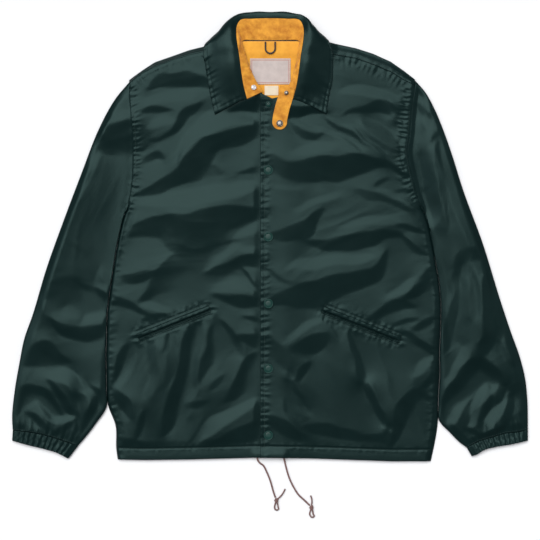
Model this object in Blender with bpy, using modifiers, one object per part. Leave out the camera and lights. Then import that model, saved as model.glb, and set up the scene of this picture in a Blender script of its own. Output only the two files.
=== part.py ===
"""A coach jacket laid out flat on its back, as cut and sewn cloth pieces.

The frame is +X to the right seen from above, +Y from the hem to the collar and +Z up. The jacket
lies on the plane z = 0 and the origin is the middle of its footprint, so the wearer's right is at
-X. Every size and table is in millimetres, and becomes metres where a mesh or a curve is made.
"""

import math

import bmesh
import bpy
import numpy as np
from mathutils import Vector
from mathutils.bvhtree import BVHTree

MM = 0.001

# Cloth and how its layers lie
CLOTH = 1.6
SEAM = 0.4
TOP_LAYER = 5.4
RIM = (TOP_LAYER + CLOTH / 2) / 2
SIDE_DROP = 2.7
SIDE_DROP_WIDTH = 8.0
FOLD_MARGIN = 16.0
LOWEST_FOLD = -1.2
COLLAR_LIFT = 2.4
COLLAR_LIFT_Y = 304.0
COLLAR_LIFT_X = 112.0
LIFT_SLOPE = 12.0

# Front overlap and hem
PLACKET_EDGE = -16.0
UNDERLAP_EDGE = 14.0
OVERLAP_RISE = 2.6
OVERLAP_SLOPE = 24.0
UNDERLAP_FLAT = 0.2
PLACKET_FLAT = 0.6
HEM_CASING = 19.0
CASING_RISE = 1.0
CASING_STITCH = 1.2
CORD_ARCH = 1.4
CORD_ARCH_HALF = 34.0
BACK_HEM_SHORT = 1.0

# Side seams from the hem up to the underarm, and armholes from there up to the shoulder: x, y
SIDE_SEAM_RIGHT = (
    (-252, -368), (-254, -352), (-255, -314), (-264, -280), (-268, -255), (-269, -200),
    (-267, -125), (-262, -88), (-254, -31), (-248, 2), (-243, 24), (-237, 42),
)
ARMHOLE_RIGHT = (
    (-237, 42), (-230, 68), (-226, 100), (-225, 143), (-226, 176), (-229, 210), (-233, 252),
)
SIDE_SEAM_LEFT = (
    (266, -371), (270, -352), (271, -311), (273, -268), (276, -225), (274, -190), (278, -145),
    (279, -110), (276, -75), (270, -40), (262, 8), (251, 45),
)
ARMHOLE_LEFT = (
    (251, 45), (241, 75), (231, 117), (227, 140), (231, 170), (234, 209), (240, 254),
)

# Sleeves: the outer edge from the shoulder down, the inner edge from the underarm down: x, y
OUTER_RIGHT = (
    (-236, 255), (-255, 228), (-269, 205), (-283, 177), (-312, 103), (-340, 29), (-370, -55),
    (-393, -132), (-406, -169), (-414, -209), (-422, -256), (-426, -303), (-425, -320),
)
INNER_RIGHT = (
    (-241, 42), (-251, 2), (-257, -31), (-266, -88), (-271, -125), (-273, -200), (-272, -255),
    (-272, -284), (-289, -311), (-306, -333), (-317, -346),
)
OUTER_LEFT = (
    (243, 258), (256, 239), (273, 208), (287, 174), (301, 134), (318, 80), (352, -13), (381, -107),
    (398, -158), (412, -197), (421, -232), (425, -268), (426, -319),
)
INNER_LEFT = (
    (256, 46), (268, 8), (276, -40), (282, -75), (286, -120), (286, -169), (285, -225), (283, -268),
    (284, -302), (298, -325), (313, -340), (325, -349),
)

# Cuffs, each line from its outer end to its inner end: x, y
CUFF_TOP_RIGHT = ((-425, -320), (-399, -323), (-377, -327), (-352, -334), (-317, -346))
CUFF_END_RIGHT = ((-426, -337), (-397, -345), (-372, -351), (-352, -357), (-333, -367))
CUFF_TOP_LEFT = ((426, -319), (409, -323), (389, -325), (369, -331), (341, -340), (325, -349))
CUFF_END_LEFT = ((426, -337), (398, -343), (369, -348), (352, -353), (341, -360), (333, -363))

# Shoulders: x, y of the fold at the top edge, y of the seam that lies on the front
SHOULDER_RIGHT = (
    (-233, 258, 252), (-224, 265, 258), (-210, 275, 269), (-190, 288, 279), (-161, 298, 290),
    (-133, 308, 299), (-100, 316, 306), (-75, 320, 311), (-52, 322, 315),
)
SHOULDER_LEFT = (
    (52, 327, 313), (75, 326, 308), (105, 319, 299), (142, 311, 293), (170, 302, 283),
    (199, 289, 271), (222, 273, 257), (240, 259, 249),
)
NECK_SEAM_Y = 324.0
NECK_HALF = 46.0

# Hem: x, y
HEM = (
    (-252, -368), (-205, -369), (-133, -368), (-22, -365), (57, -366), (114, -368), (200, -371),
    (266, -371),
)

# Necklines of the two fronts, from the centre to the shoulder seam: x, y
NECKLINE_RIGHT = (
    (14, 222), (-3, 232), (-14, 244), (-27, 262), (-34, 282), (-38, 300), (-42, 312), (-52, 315),
)
NECKLINE_LEFT = (
    (-16, 227), (6, 228), (25, 238), (33, 256), (38, 277), (42, 298), (45, 309), (52, 313),
)

# The largest folds of the two fronts and of the sleeves. Each is a ridge along a curve through
# three places, with its rise and how wide it falls away on the left and on the right of the curve.
# x0, y0, xm, ym, x1, y1, rise, left width, right width
FRONT_FOLDS = (
    (-192, 260, -145, 266, -92, 266, 4.0, 16, 18),
    (-226, 67, -122, 143, -14, 184, 7.0, 28, 24),
    (-222, 33, -120, 42, -14, 47, 8.0, 30, 60),
    (-240, -56, -190, -62, -140, -58, 4.0, 28, 20),
    (-124, -70, -68, -40, -14, -31, 6.0, 24, 22),
    (-266, -100, -232, -112, -198, -131, 4.0, 20, 16),
    (-92, -104, -56, -96, -14, -112, 4.0, 20, 18),
    (-184, -322, -160, -240, -132, -142, 5.0, 22, 20),
    (-118, -250, -101, -201, -92, -142, 3.5, 16, 16),
    (-80, -274, -46, -235, -22, -190, 4.0, 20, 18),
    (-92, -336, -43, -310, -12, -272, 4.5, 22, 20),
    (102, 267, 145, 277, 200, 270, 5.0, 16, 18),
    (48, 200, 92, 178, 140, 140, 3.5, 18, 18),
    (4, 126, 130, 134, 222, 104, 8.0, 34, 42),
    (-4, 17, 38, 24, 92, 42, 5.0, 30, 26),
    (62, -6, 140, 4, 222, 12, 5.5, 40, 28),
    (6, -100, 96, -66, 194, -22, 7.0, 34, 36),
    (214, -100, 246, -74, 272, -34, 5.0, 24, 22),
    (196, -342, 210, -284, 234, -246, 4.5, 20, 20),
    (34, -184, 50, -153, 80, -138, 4.0, 18, 26),
)
SLEEVE_RIGHT_FOLDS = (
    (-292, 166, -262, 184, -224, 194, 5.0, 26, 38),
    (-380, -99, -355, -80, -326, -70, 3.5, 22, 22),
    (-366, -134, -322, -147, -270, -134, 5.5, 28, 24),
    (-402, -172, -366, -177, -328, -210, 5.0, 24, 28),
    (-366, -216, -337, -257, -314, -306, 5.0, 20, 18),
    (-410, -250, -390, -262, -368, -284, 4.0, 20, 18),
)
SLEEVE_LEFT_FOLDS = (
    (246, 194, 266, 202, 288, 188, 3.5, 24, 30),
    (300, -30, 332, -22, 360, -28, 3.5, 24, 24),
    (343, -156, 351, -100, 345, -40, 4.0, 22, 26),
    (282, -282, 317, -237, 350, -196, 6.0, 28, 24),
    (350, -190, 376, -226, 392, -280, 4.5, 20, 20),
    (290, -292, 318, -270, 350, -260, 5.0, 18, 16),
)
SPINE_STEPS = 12
FOLD_TAPER = 0.22

# Collar, half of it, from its front end round to the middle of the back: x, y, z of each line
COLLAR_ROLL = (
    (38, 226, 13), (44, 250, 16.5), (48, 276, 19.5), (51, 300, 20.5), (54, 318, 19.5), (55, 326, 18),
    (54.5, 335, 15.5), (52, 346, 11), (45, 356, 7), (28, 360, 3.8), (0, 360.5, 3.1),
)
COLLAR_CREST = (
    (47, 224, 14), (53, 250, 18), (58, 277, 21.2), (62, 303, 22.2), (66, 321, 21), (67, 331, 19),
    (68, 341, 16), (64, 353, 10.8), (52, 363, 6.6), (29, 367.5, 3.7), (0, 367.8, 3.1),
)
COLLAR_FALL = (
    (61, 217, 12.6), (68, 244, 16), (75, 271, 18.4), (79, 298, 19), (84, 316, 18), (84, 329, 16),
    (82, 338, 12.6), (73, 352, 7.2), (56, 365, 4.2), (29, 370.4, 2.2), (0, 370.6, 1.8),
)
COLLAR_TURN = (
    (76, 209, 10.6), (84, 236, 12.6), (90, 264, 14), (95, 289, 14.6), (99, 306, 14), (98, 320, 13),
    (93, 330, 8.5), (80, 341, 1.6), (56, 359, 0.8), (29, 367, 0.8), (0, 367.4, 0.8),
)
COLLAR_EDGE = (
    (91, 201, 0), (98, 230, 0), (103, 257, 0), (107, 283, 0), (110, 301, 0), (108.5, 313, 11),
    (103, 321.5, 3.8), (80, 321, 0.8), (52, 318, 0.8), (28, 318, 0.8), (0, 318, 0.8),
)
# How the wearer's left half differs in its falling part: dx, dy
COLLAR_LEFT_SHIFT = (
    (2, 0), (0, 3), (0, 0), (-3, 1), (-6, 1), (-11, 7), (-14, 8), (-11, -2), (-8, -3), (-2, 0), (0, 0),
)
# Lower edge of the collar stand on each side, from the front end to the middle of the back
STAND_RIGHT = (
    (-12, 237, 8.4), (-22, 252, 8.6), (-34, 276, 8.6), (-39, 300, 9.6), (-43, 312, 10.4),
    (-41, 319, 9.6), (-38, 321.5, 8), (-33, 323.6, 6), (-25, 325.2, 4.2), (-14, 325.4, 3.2),
    (0, 325.4, 3.2),
)
STAND_LEFT = (
    (26, 236, 10.8), (33, 252, 9.6), (38, 276, 8.8), (43, 300, 9.8), (46, 310, 10.6), (44, 318, 9.6),
    (40, 321.5, 8), (34, 323.6, 6), (26, 325.2, 4.2), (14, 325.4, 3.2), (0, 325.4, 3.2),
)
STAND_SEAM = 0.9

# What shows in the neck, and what is sewn on
LINING_CLOTH = 1.0
LINING_HALF_TOP = 29.0
LINING_HALF_LOW = 62.0
LINING_LOW_Y = 200.0
LABEL = (-33.0, 34.0, 251.0, 294.0)
LABEL_CLOTH = 0.6
SIZE_TAB = (-9.0, 14.0, 233.0, 249.0)
LOOP_ENDS_X = (-7.5, 8.5)
LOOP_TOP_Y = 321.0
LOOP_LOW_Y = 302.0
LOOP_WIRE = 1.4
POCKET_RIGHT = ((-218, -166), (-99, -119))
POCKET_LEFT = ((88, -121), (215, -171))
POCKET_WIDTH = 12.0
TAB_LINE = ((29, 246, 15.0), (25.5, 229, 13.8), (20.5, 212, 0), (16.5, 194, 0), (15.5, 176, 0))
TAB_TILT = (2.6, 1.8, 1.0, 0.4)
TAB_HALF = 12.2
SNAP_Y = (218.0, 109.0, -1.0, -111.0, -218.0, -328.0)
SNAP_X = -2.5
SNAP_RADIUS = 8.0
TOP_SNAP_RADIUS = 5.0
SNAP_RISE = 2.1
TAB_SNAPS = ((27.0, 236.0, 3.6), (16.0, 186.0, 5.6))
STUD = (-27.0, 245.0, 4.4)
STUD_GAP = 0.45

# Drawcords: the route of each from under the hem to its knot, its loop's end and its tail: x, y, z
CORD_RADIUS = 1.4
CORD_REST = 1.6
CORD_ROUTES = {
    "drawcord_right": (
        (-24, -360, 3.6), (-21.5, -364, 3.6), (-20.5, -369, 2.8), (-17, -374, 1.6), (-11.5, -378, 1.6),
        (-6, -388, 1.6), (-2, -397, 1.6), (1.5, -407, 1.6), (6, -423, 1.6), (9, -431.5, 1.6),
    ),
    "drawcord_left": (
        (21.5, -360, 3.6), (22.5, -364, 3.6), (23.6, -369, 2.8), (25, -375, 1.6), (28, -387, 1.6),
        (33, -402, 1.6), (39, -414, 1.6), (46.5, -426, 1.6), (57, -436, 1.6), (65.5, -444.2, 1.6),
    ),
}
CORD_KNOTS = {
    "drawcord_right": ((10.5, -436), (11, -452), (25, -417)),
    "drawcord_left": ((68.5, -448), (70, -464), (67, -428)),
}
KNOT_RADII = (3.4, 4.4, 2.6)
LOOP_HALF = 3.2

# Mesh densities
FRONT_ACROSS = (0, 0.05, 0.095, 0.15, 0.24, 0.34, 0.44, 0.54, 0.64, 0.74, 0.84, 0.93, 0.972, 1)
FRONT_HEM_ROWS = (0, 0.014, 0.026, 0.034, 0.046)
FRONT_ROWS = 32
TUBE_EDGE = (0, 0.006, 0.02)
TUBE_TOP_COLUMNS = 8
TUBE_LOW_COLUMNS = (0.72, 0.36)
SLEEVE_ROWS = 23
COLLAR_STATIONS = 31
COLLAR_SHARES = (0, 0.09, 0.18, 0.3, 0.45, 0.7, 1)
CUFF_GATHERS = 13
CUFF_GATHER_DEPTH = 1.1
BACK_ROW_SHARES = (0, 0.13, 0.26, 0.39, 0.52, 0.64, 0.72, 0.8, 0.88, 0.95, 0.975, 1)
WRAP_ANGLES = (0, 45, 90, 135, 180)

GREEN_NYLON = ((0.016, 0.036, 0.034), 0.42, 0.0)
YELLOW_LINING = ((0.80, 0.40, 0.06), 0.7, 0.0)
PALE_LABEL = ((0.76, 0.68, 0.66), 0.6, 0.0)
DARK_LOOP = ((0.02, 0.015, 0.012), 0.5, 0.0)
SNAP_ENAMEL = ((0.012, 0.05, 0.042), 0.25, 0.3)
SNAP_METAL = ((0.55, 0.52, 0.50), 0.3, 1.0)
CORD_MAUVE = ((0.13, 0.07, 0.075), 0.7, 0.0)


def smooth(share):
    """0 to 1 with soft ends, for a share that may lie outside 0 to 1."""
    share = np.clip(share, 0, 1)
    return share * share * (3 - 2 * share)


def along(points, shares):
    """The places at these shares of the length of a smooth curve through the points."""
    points = np.asarray(points, float)
    steps = np.linalg.norm(np.diff(points, axis=0), axis=1)
    marks = np.concatenate([[0], np.cumsum(steps)]) / steps.sum()
    slopes = np.gradient(points, marks, axis=0)
    shares = np.asarray(shares, float)
    left = np.clip(np.searchsorted(marks, shares, side="right") - 1, 0, len(marks) - 2)
    span = (marks[left + 1] - marks[left])[:, None]
    t = (shares - marks[left])[:, None] / span
    return (
        (2 * t**3 - 3 * t**2 + 1) * points[left]
        + (t**3 - 2 * t**2 + t) * span * slopes[left]
        + (3 * t**2 - 2 * t**3) * points[left + 1]
        + (t**3 - t**2) * span * slopes[left + 1]
    )


def between_edges(first, last, start, end, across, down):
    """A patch of places between four edges that meet at its corners, as rows of columns."""
    u = np.asarray(across)[None, :, None]
    v = np.asarray(down)[:, None, None]
    rows = (1 - v) * first[None] + v * last[None]
    columns = (1 - u) * start[:, None] + u * end[:, None]
    corners = (1 - v) * ((1 - u) * first[0] + u * first[-1]) + v * ((1 - u) * last[0] + u * last[-1])
    return rows + columns - corners


def spine_of(fold):
    """The curve along a fold, through its three places."""
    start, middle, end = np.array(fold[:6], float).reshape(3, 2)
    t = np.linspace(0, 1, SPINE_STEPS + 1)[:, None]
    return (1 - t) * (1 - 2 * t) * start + 4 * t * (1 - t) * middle + t * (2 * t - 1) * end


def nearest_on(spine, x, y):
    """The distance of each place to a curve, positive on its left, and the share along it."""
    best = np.full(np.shape(x), np.inf)
    side = np.zeros(np.shape(x))
    share = np.zeros(np.shape(x))
    for i in range(len(spine) - 1):
        start = spine[i]
        run = spine[i + 1] - start
        t = np.clip(((x - start[0]) * run[0] + (y - start[1]) * run[1]) / (run @ run), 0, 1)
        off_x = x - start[0] - t * run[0]
        off_y = y - start[1] - t * run[1]
        away = np.hypot(off_x, off_y)
        nearer = away < best
        best = np.where(nearer, away, best)
        side = np.where(nearer, np.sign(run[0] * off_y - run[1] * off_x), side)
        share = np.where(nearer, (i + t) / (len(spine) - 1), share)
    return best * side, share


def fold_heights(x, y, folds):
    """How far a table of folds lifts the cloth at each place."""
    height = np.zeros(np.shape(x))
    for fold in folds:
        rise, left_width, right_width = fold[6:]
        away, share = nearest_on(spine_of(fold), x, y)
        reach = np.clip(np.abs(away) / np.where(away > 0, left_width, right_width), 0, 1)
        ends = smooth(share / FOLD_TAPER) * smooth((1 - share) / FOLD_TAPER)
        height += rise * ends * (1 - reach**2) ** 2
    return height


def soft_floor(height, floor, softness=0.5):
    """The height, eased so that it never falls below the floor."""
    return floor + softness * np.logaddexp(0, (height - floor) / softness)


def collar_lift(x, y):
    """How far the layers near the neck lie above the table, over the folded-under collar."""
    up = smooth((y - COLLAR_LIFT_Y + LIFT_SLOPE) / LIFT_SLOPE)
    near = smooth((COLLAR_LIFT_X - np.abs(x)) / LIFT_SLOPE)
    return COLLAR_LIFT * up * near


def side_line(seam, armhole, y):
    """x of the jacket's side at each height y."""
    rows = np.array(seam + armhole[1:], float)
    return np.interp(y, rows[:, 1], rows[:, 0])


def hem_line(x):
    """y of the hem at each x."""
    rows = np.array(HEM, float)
    return np.interp(x, rows[:, 0], rows[:, 1])


def front_level(x, y, fold_share=1.0, folds=FRONT_FOLDS):
    """The height of the middle of the front cloth's wall at each place."""
    from_side = np.minimum(
        x - side_line(SIDE_SEAM_RIGHT, ARMHOLE_RIGHT, y), side_line(SIDE_SEAM_LEFT, ARMHOLE_LEFT, y) - x
    )
    below_arm = smooth((62 - y) / 24)
    drop = SIDE_DROP * (1 - smooth(from_side / SIDE_DROP_WIDTH)) * below_arm
    above_hem = y - hem_line(x)
    in_casing = smooth((HEM_CASING - above_hem) / 4)
    stitch = np.exp(-(((above_hem - HEM_CASING) / 3) ** 2))
    arch = CORD_ARCH * smooth((CORD_ARCH_HALF - np.abs(x)) / 12) * in_casing
    free = smooth(from_side / FOLD_MARGIN) * (0.15 + 0.85 * smooth((above_hem - HEM_CASING + 4) / 18))
    folds_up = soft_floor(fold_heights(x, y, folds) * free * fold_share, LOWEST_FOLD)
    casing = CASING_RISE * in_casing - CASING_STITCH * stitch
    hem_free = smooth(from_side / SIDE_DROP_WIDTH)
    return TOP_LAYER - drop + folds_up + (casing + arch) * hem_free + collar_lift(x, y)


def lower_front_level(x, y):
    """The wearer's right front, pressed flat where the other one covers it."""
    covered = smooth((x - PLACKET_EDGE + 12) / 12)
    return front_level(x, y, 1 - (1 - UNDERLAP_FLAT) * covered)


def upper_front_level(x, y):
    """The wearer's left front, lifted where it lies on the other one, its folds low in the placket."""
    past_overlap = smooth((x - UNDERLAP_EDGE - 3) / OVERLAP_SLOPE)
    folds_left = PLACKET_FLAT + (1 - PLACKET_FLAT) * past_overlap
    return front_level(x, y, folds_left) + OVERLAP_RISE * (1 - past_overlap)


def material(name, look):
    colour, roughness, metallic = look
    made = bpy.data.materials.new(name)
    made.use_nodes = True
    shader = made.node_tree.nodes["Principled BSDF"]
    shader.inputs["Base Color"].default_value = (*colour, 1)
    shader.inputs["Roughness"].default_value = roughness
    shader.inputs["Metallic"].default_value = metallic
    return made


def add_object(name, data, look):
    obj = bpy.data.objects.new(name, data)
    data.materials.append(material(name, look))
    PARTS.objects.link(obj)
    return obj


def grid_mesh(points):
    """A grid whose vertices take the places in an array of rows, columns and x y z."""
    rows, columns = points.shape[:2]
    mesh = bmesh.new()
    bmesh.ops.create_grid(mesh, x_segments=columns - 1, y_segments=rows - 1, size=1)
    for vert in mesh.verts:
        column = round((vert.co.x + 1) / 2 * (columns - 1))
        row = round((vert.co.y + 1) / 2 * (rows - 1))
        vert.co = Vector(points[row, column]) * MM
    mesh.normal_update()
    return mesh


def face_out(mesh):
    """Turns the faces round if the highest one looks down."""
    highest = max(mesh.faces, key=lambda face: face.calc_center_median().z)
    if highest.normal.z < 0:
        bmesh.ops.reverse_faces(mesh, faces=mesh.faces)
    mesh.normal_update()


def to_object(mesh, name, look):
    data = bpy.data.meshes.new(name)
    mesh.to_mesh(data)
    mesh.free()
    data.shade_smooth()
    data.set_sharp_from_angle(angle=math.radians(50))
    return add_object(name, data, look)


def thicken(obj, wall, offset, even=True):
    """Gives an open surface its wall: inwards with an offset of -1, to both sides with 0."""
    solidify = obj.modifiers.new("Wall", "SOLIDIFY")
    solidify.thickness = wall * MM
    solidify.offset = offset
    solidify.use_even_offset = even
    return obj


def flat_panel(name, plan, level, look, wall=CLOTH):
    """A panel over a plan of x y rows and columns, its wall as thick as stated straight down."""
    points = np.dstack([plan, level + wall / 2])
    mesh = grid_mesh(points)
    face_out(mesh)
    top = BVHTree.FromBMesh(mesh)
    top_faces = list(mesh.faces)
    copied = bmesh.ops.duplicate(mesh, geom=top_faces)["geom"]
    lower = [item for item in copied if isinstance(item, bmesh.types.BMFace)]
    lower_verts = [item for item in copied if isinstance(item, bmesh.types.BMVert)]
    bmesh.ops.translate(mesh, verts=lower_verts, vec=(0, 0, -wall * MM))
    bmesh.ops.reverse_faces(mesh, faces=lower)
    rims = [edge for edge in mesh.edges if edge.is_boundary]
    bmesh.ops.bridge_loops(mesh, edges=rims)
    bmesh.ops.recalc_face_normals(mesh, faces=mesh.faces)
    return to_object(mesh, name, look), top


def top_height(surfaces, x, y, reach=4.0):
    """The highest of the surfaces' tops near a place, in millimetres."""
    found = []
    for dx in (-reach, 0, reach):
        for dy in (-reach, 0, reach):
            start = Vector((x + dx, y + dy, 100)) * MM
            for surface in surfaces:
                hit = surface.ray_cast(start, Vector((0, 0, -1)))[0]
                if hit:
                    found.append(hit.z / MM)
    return max(found)


def front_panel(name, centre_x, side, neckline, shoulder, level, look):
    """One front: from the hem up to its neckline and shoulder seam, and from its centre to its side."""
    seam, armhole = side
    inward = math.copysign(SEAM, -seam[0][0])
    side_points = [(x + inward, y) for x, y in seam + armhole[1:]]
    side_points[-1] = (shoulder[0][0] + inward, shoulder[0][1] - 4 * SEAM)
    shoulder_points = [(x, y - 4 * SEAM) for x, y in shoulder[::-1][1:-1]]
    top_points = list(neckline) + shoulder_points + [side_points[-1]]
    across = np.array(FRONT_ACROSS)
    down = np.concatenate([FRONT_HEM_ROWS, np.linspace(0.066, 1, FRONT_ROWS)])
    hem_x = centre_x + (side_points[0][0] - centre_x) * across
    hem = np.column_stack([hem_x, hem_line(hem_x)])
    top = along(top_points, across)
    centre = along([hem[0], (centre_x, 0), neckline[0]], down)
    edge = along([hem[-1]] + side_points[1:], down)
    plan = between_edges(hem, top, centre, edge, across, down)
    return flat_panel(name, plan, level(plan[..., 0], plan[..., 1]), look)


def back_panel(look):
    """The back: flat on the table, then folded over each shoulder onto the front."""
    right = np.array(SHOULDER_RIGHT, float)
    left = np.array(SHOULDER_LEFT, float)
    right_x = np.array([-232, -200, -165, -130, -100, -75, -53])
    left_x = np.array([53, 75, 100, 135, 170, 205, 239])
    neck_x = np.array([-NECK_HALF, -22, 0, 22, NECK_HALF])
    columns = np.concatenate([right_x, neck_x, left_x])
    fold = np.concatenate([right, left])
    fold_y = np.interp(columns, fold[:, 0], fold[:, 1])
    seam_y = np.interp(columns, fold[:, 0], fold[:, 2])
    in_neck = np.abs(columns) <= NECK_HALF
    start_y = np.where(in_neck, NECK_SEAM_Y - 14, fold_y - RIM)
    top = np.column_stack([columns, start_y])
    across = (columns - columns[0]) / (columns[-1] - columns[0])
    down = np.array(BACK_ROW_SHARES)
    hem_x = HEM[0][0] + (HEM[-1][0] - HEM[0][0]) * across
    hem = np.column_stack([hem_x, hem_line(hem_x) + BACK_HEM_SHORT])
    right_side = [(x + 2 * SEAM, y) for x, y in SIDE_SEAM_RIGHT[1:] + ARMHOLE_RIGHT[1:-1]]
    left_side = [(x - 2 * SEAM, y) for x, y in SIDE_SEAM_LEFT[1:] + ARMHOLE_LEFT[1:-1]]
    right_edge = along([hem[0]] + right_side + [top[0]], down)
    left_edge = along([hem[-1]] + left_side + [top[-1]], down)
    plan = between_edges(hem, top, right_edge, left_edge, across, down)
    rows = [np.column_stack([row, np.zeros(len(row))]) for row in plan]
    for angle in WRAP_ANGLES[1:]:
        turn = math.radians(angle)
        share = angle / WRAP_ANGLES[-1]
        y = np.where(in_neck, start_y + 10 * share, start_y + RIM * math.sin(turn))
        z = np.where(in_neck, 0, RIM * (1 - math.cos(turn)))
        rows.append(np.column_stack([columns, y, z]))
    rows.append(np.column_stack([columns, np.where(in_neck, NECK_SEAM_Y, seam_y), rows[-1][:, 2]]))
    points = np.array(rows)
    points[..., 2] += collar_lift(points[..., 0], points[..., 1])
    mesh = grid_mesh(points)
    face_out(mesh)
    table_side = BVHTree.FromBMesh(mesh)
    thicken(to_object(mesh, "back", look), CLOTH, -1)
    return table_side


def tube_rows(plan, across, lift, rim=RIM):
    """Rings of a flattened tube over a plan: its upper layer, then its flat lower layer back."""
    width = np.linalg.norm(plan[:, -1] - plan[:, 0], axis=1)[:, None]
    from_edge = np.minimum(across, 1 - across)[None] * width
    half = rim * np.sqrt(1 - (1 - np.clip(from_edge / rim, 0, 1)) ** 2)
    upper = np.dstack([plan, rim + half + lift * smooth(from_edge / FOLD_MARGIN)])
    low_shares = [1 - s for s in TUBE_EDGE[1:]] + list(TUBE_LOW_COLUMNS) + list(TUBE_EDGE[:0:-1])
    lower = []
    for share in low_shares:
        column = int(np.argmin(np.abs(across - share)))
        lower.append(np.column_stack([plan[:, column], rim - half[:, column]]))
    lower = np.array(lower).transpose(1, 0, 2)
    return np.concatenate([upper, lower, upper[:, :1]], axis=1)


def tube(name, rings, look):
    """An open tube through rings, its wall inside them."""
    mesh = grid_mesh(rings)
    bmesh.ops.remove_doubles(mesh, verts=mesh.verts, dist=1e-7)
    mesh.normal_update()
    face_out(mesh)
    return thicken(to_object(mesh, name, look), CLOTH, -1, even=False)


def tube_columns(top_columns):
    edge = np.array(TUBE_EDGE)
    return np.concatenate([edge, np.linspace(0.08, 0.92, top_columns), 1 - edge[::-1]])


def sleeve(name, armhole, outer, inner, cuff_top, folds, look):
    """One sleeve: a flattened tube from its armhole to the top of its cuff."""
    outward = math.copysign(SEAM, outer[0][0])
    across = tube_columns(TUBE_TOP_COLUMNS)
    down = np.linspace(0, 1, SLEEVE_ROWS)
    seam = [outer[0]] + [(x + outward, y) for x, y in armhole[::-1][1:-1]] + [inner[0]]
    first = along(seam, across)
    last = along(cuff_top, across) + (0, SEAM)
    outer_edge = along(list(outer[:-1]) + [last[0]], down)
    inner_edge = along(list(inner[:-1]) + [last[-1]], down)
    plan = between_edges(first, last, outer_edge, inner_edge, across, down)
    x, y = plan[..., 0], plan[..., 1]
    seam_free = smooth(down / 0.06) * smooth((1 - down) / 0.03)
    lift = soft_floor(fold_heights(x, y, folds) * seam_free[:, None], LOWEST_FOLD)
    return tube(name, tube_rows(plan, across, lift), look)


def cuff(name, top, end, look):
    """One elastic cuff: a short flattened tube, its upper layer gathered into small waves."""
    across = tube_columns(CUFF_GATHERS * 2 + 1)
    down = np.array([0, 0.5, 1])
    first = along(top, across) - (0, SEAM)
    last = along(end, across)
    plan = between_edges(first, last, np.array([first[0], (first[0] + last[0]) / 2, last[0]]),
                         np.array([first[-1], (first[-1] + last[-1]) / 2, last[-1]]), across, down)
    wave = CUFF_GATHER_DEPTH * np.cos(np.arange(len(across)) * math.pi)
    lift = 1.2 + wave[None] * np.array([[1], [0.7], [1]])
    return tube(name, tube_rows(plan, across, lift), look)


def collar_half(side, surfaces):
    """The sections of half of the collar leaf, each a row of five places from its roll to its edge."""
    lines = np.array([COLLAR_ROLL, COLLAR_CREST, COLLAR_FALL, COLLAR_TURN, COLLAR_EDGE], float)
    sections = lines.transpose(1, 0, 2).copy()
    if side > 0:
        shift = np.array(COLLAR_LEFT_SHIFT, float)[:, None]
        sections[:, 2:, :2] += shift * np.array([0.5, 1, 1])[None, :, None]
    sections[..., 0] *= side
    for section in sections:
        edge = section[-1]
        if edge[2] == 0:
            edge[2] = top_height(surfaces, edge[0], edge[1], 6) + CLOTH / 2 + 2 * SEAM
            section[-2][2] = max(section[-2][2], edge[2] + 1.5)
    return sections


def collar_leaf(surfaces, look):
    right = collar_half(-1, surfaces)
    left = collar_half(1, surfaces)
    sections = np.concatenate([right, left[-2::-1]])
    start = sections[:, 0] - sections[:, 1]
    start /= np.linalg.norm(start, axis=1)[:, None]
    sections[:, 0] -= start * STAND_SEAM / 2
    stations = np.linspace(0, 1, COLLAR_STATIONS)
    lines = [along(sections[:, i], stations) for i in range(sections.shape[1])]
    rows = np.array(lines).transpose(1, 0, 2)
    points = np.array([along(row, COLLAR_SHARES) for row in rows])
    points[..., 2] = np.maximum(points[..., 2], CLOTH / 2)
    return thicken(to_object(grid_mesh(points), "collar_leaf", look), CLOTH, 0)


def collar_stand(look):
    """The inner band of the neck, from the neckline up to the roll of the collar."""
    roll = np.array(COLLAR_ROLL, float)
    upper = np.concatenate([roll * (-1, 1, 1), roll[-2::-1]])
    lower = np.concatenate([np.array(STAND_RIGHT, float), np.array(STAND_LEFT, float)[-2::-1]])
    rise = upper - lower
    rise /= np.linalg.norm(rise, axis=1)[:, None]
    upper = upper - rise * STAND_SEAM / 2
    shares = np.linspace(0, 1, COLLAR_STATIONS)
    low = along(lower, shares)
    high = along(upper, shares)
    points = np.array([low + (high - low) * t for t in (0, 0.33, 0.67, 1)])
    mesh = grid_mesh(points)
    face_out(mesh)
    middle = BVHTree.FromBMesh(mesh)
    thicken(to_object(mesh, "collar_stand", look), CLOTH, 0)
    return middle


def lining(back, look):
    """The lining of the back where the neck shows it, a flat patch that runs on under the fronts."""
    rows = []
    for v in np.linspace(0, 1, 9):
        half = LINING_HALF_LOW + (LINING_HALF_TOP - LINING_HALF_LOW) * v
        y = LINING_LOW_Y + (NECK_SEAM_Y - 1.4 - LINING_LOW_Y) * v
        rows.append([(x, y) for x in np.linspace(-half, half, 9)])
    plan = np.array(rows)
    ground = np.array([[top_height([back], x, y, 6) for x, y in row] for row in plan])
    level = ground + CLOTH + 0.4 + LINING_CLOTH / 2
    return flat_panel("lining_back", plan, level, look, LINING_CLOTH)


def flat_label(name, box, surfaces, wall, look):
    """A rectangle of cloth that lies on what is under it."""
    x0, x1, y0, y1 = box
    plan = np.array([[(x, y) for x in np.linspace(x0, x1, 5)] for y in np.linspace(y0, y1, 4)])
    ground = np.array([[top_height(surfaces, x, y, 2) for x, y in row] for row in plan])
    return flat_panel(name, plan, ground + 0.3 + wall / 2, look, wall)


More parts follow.
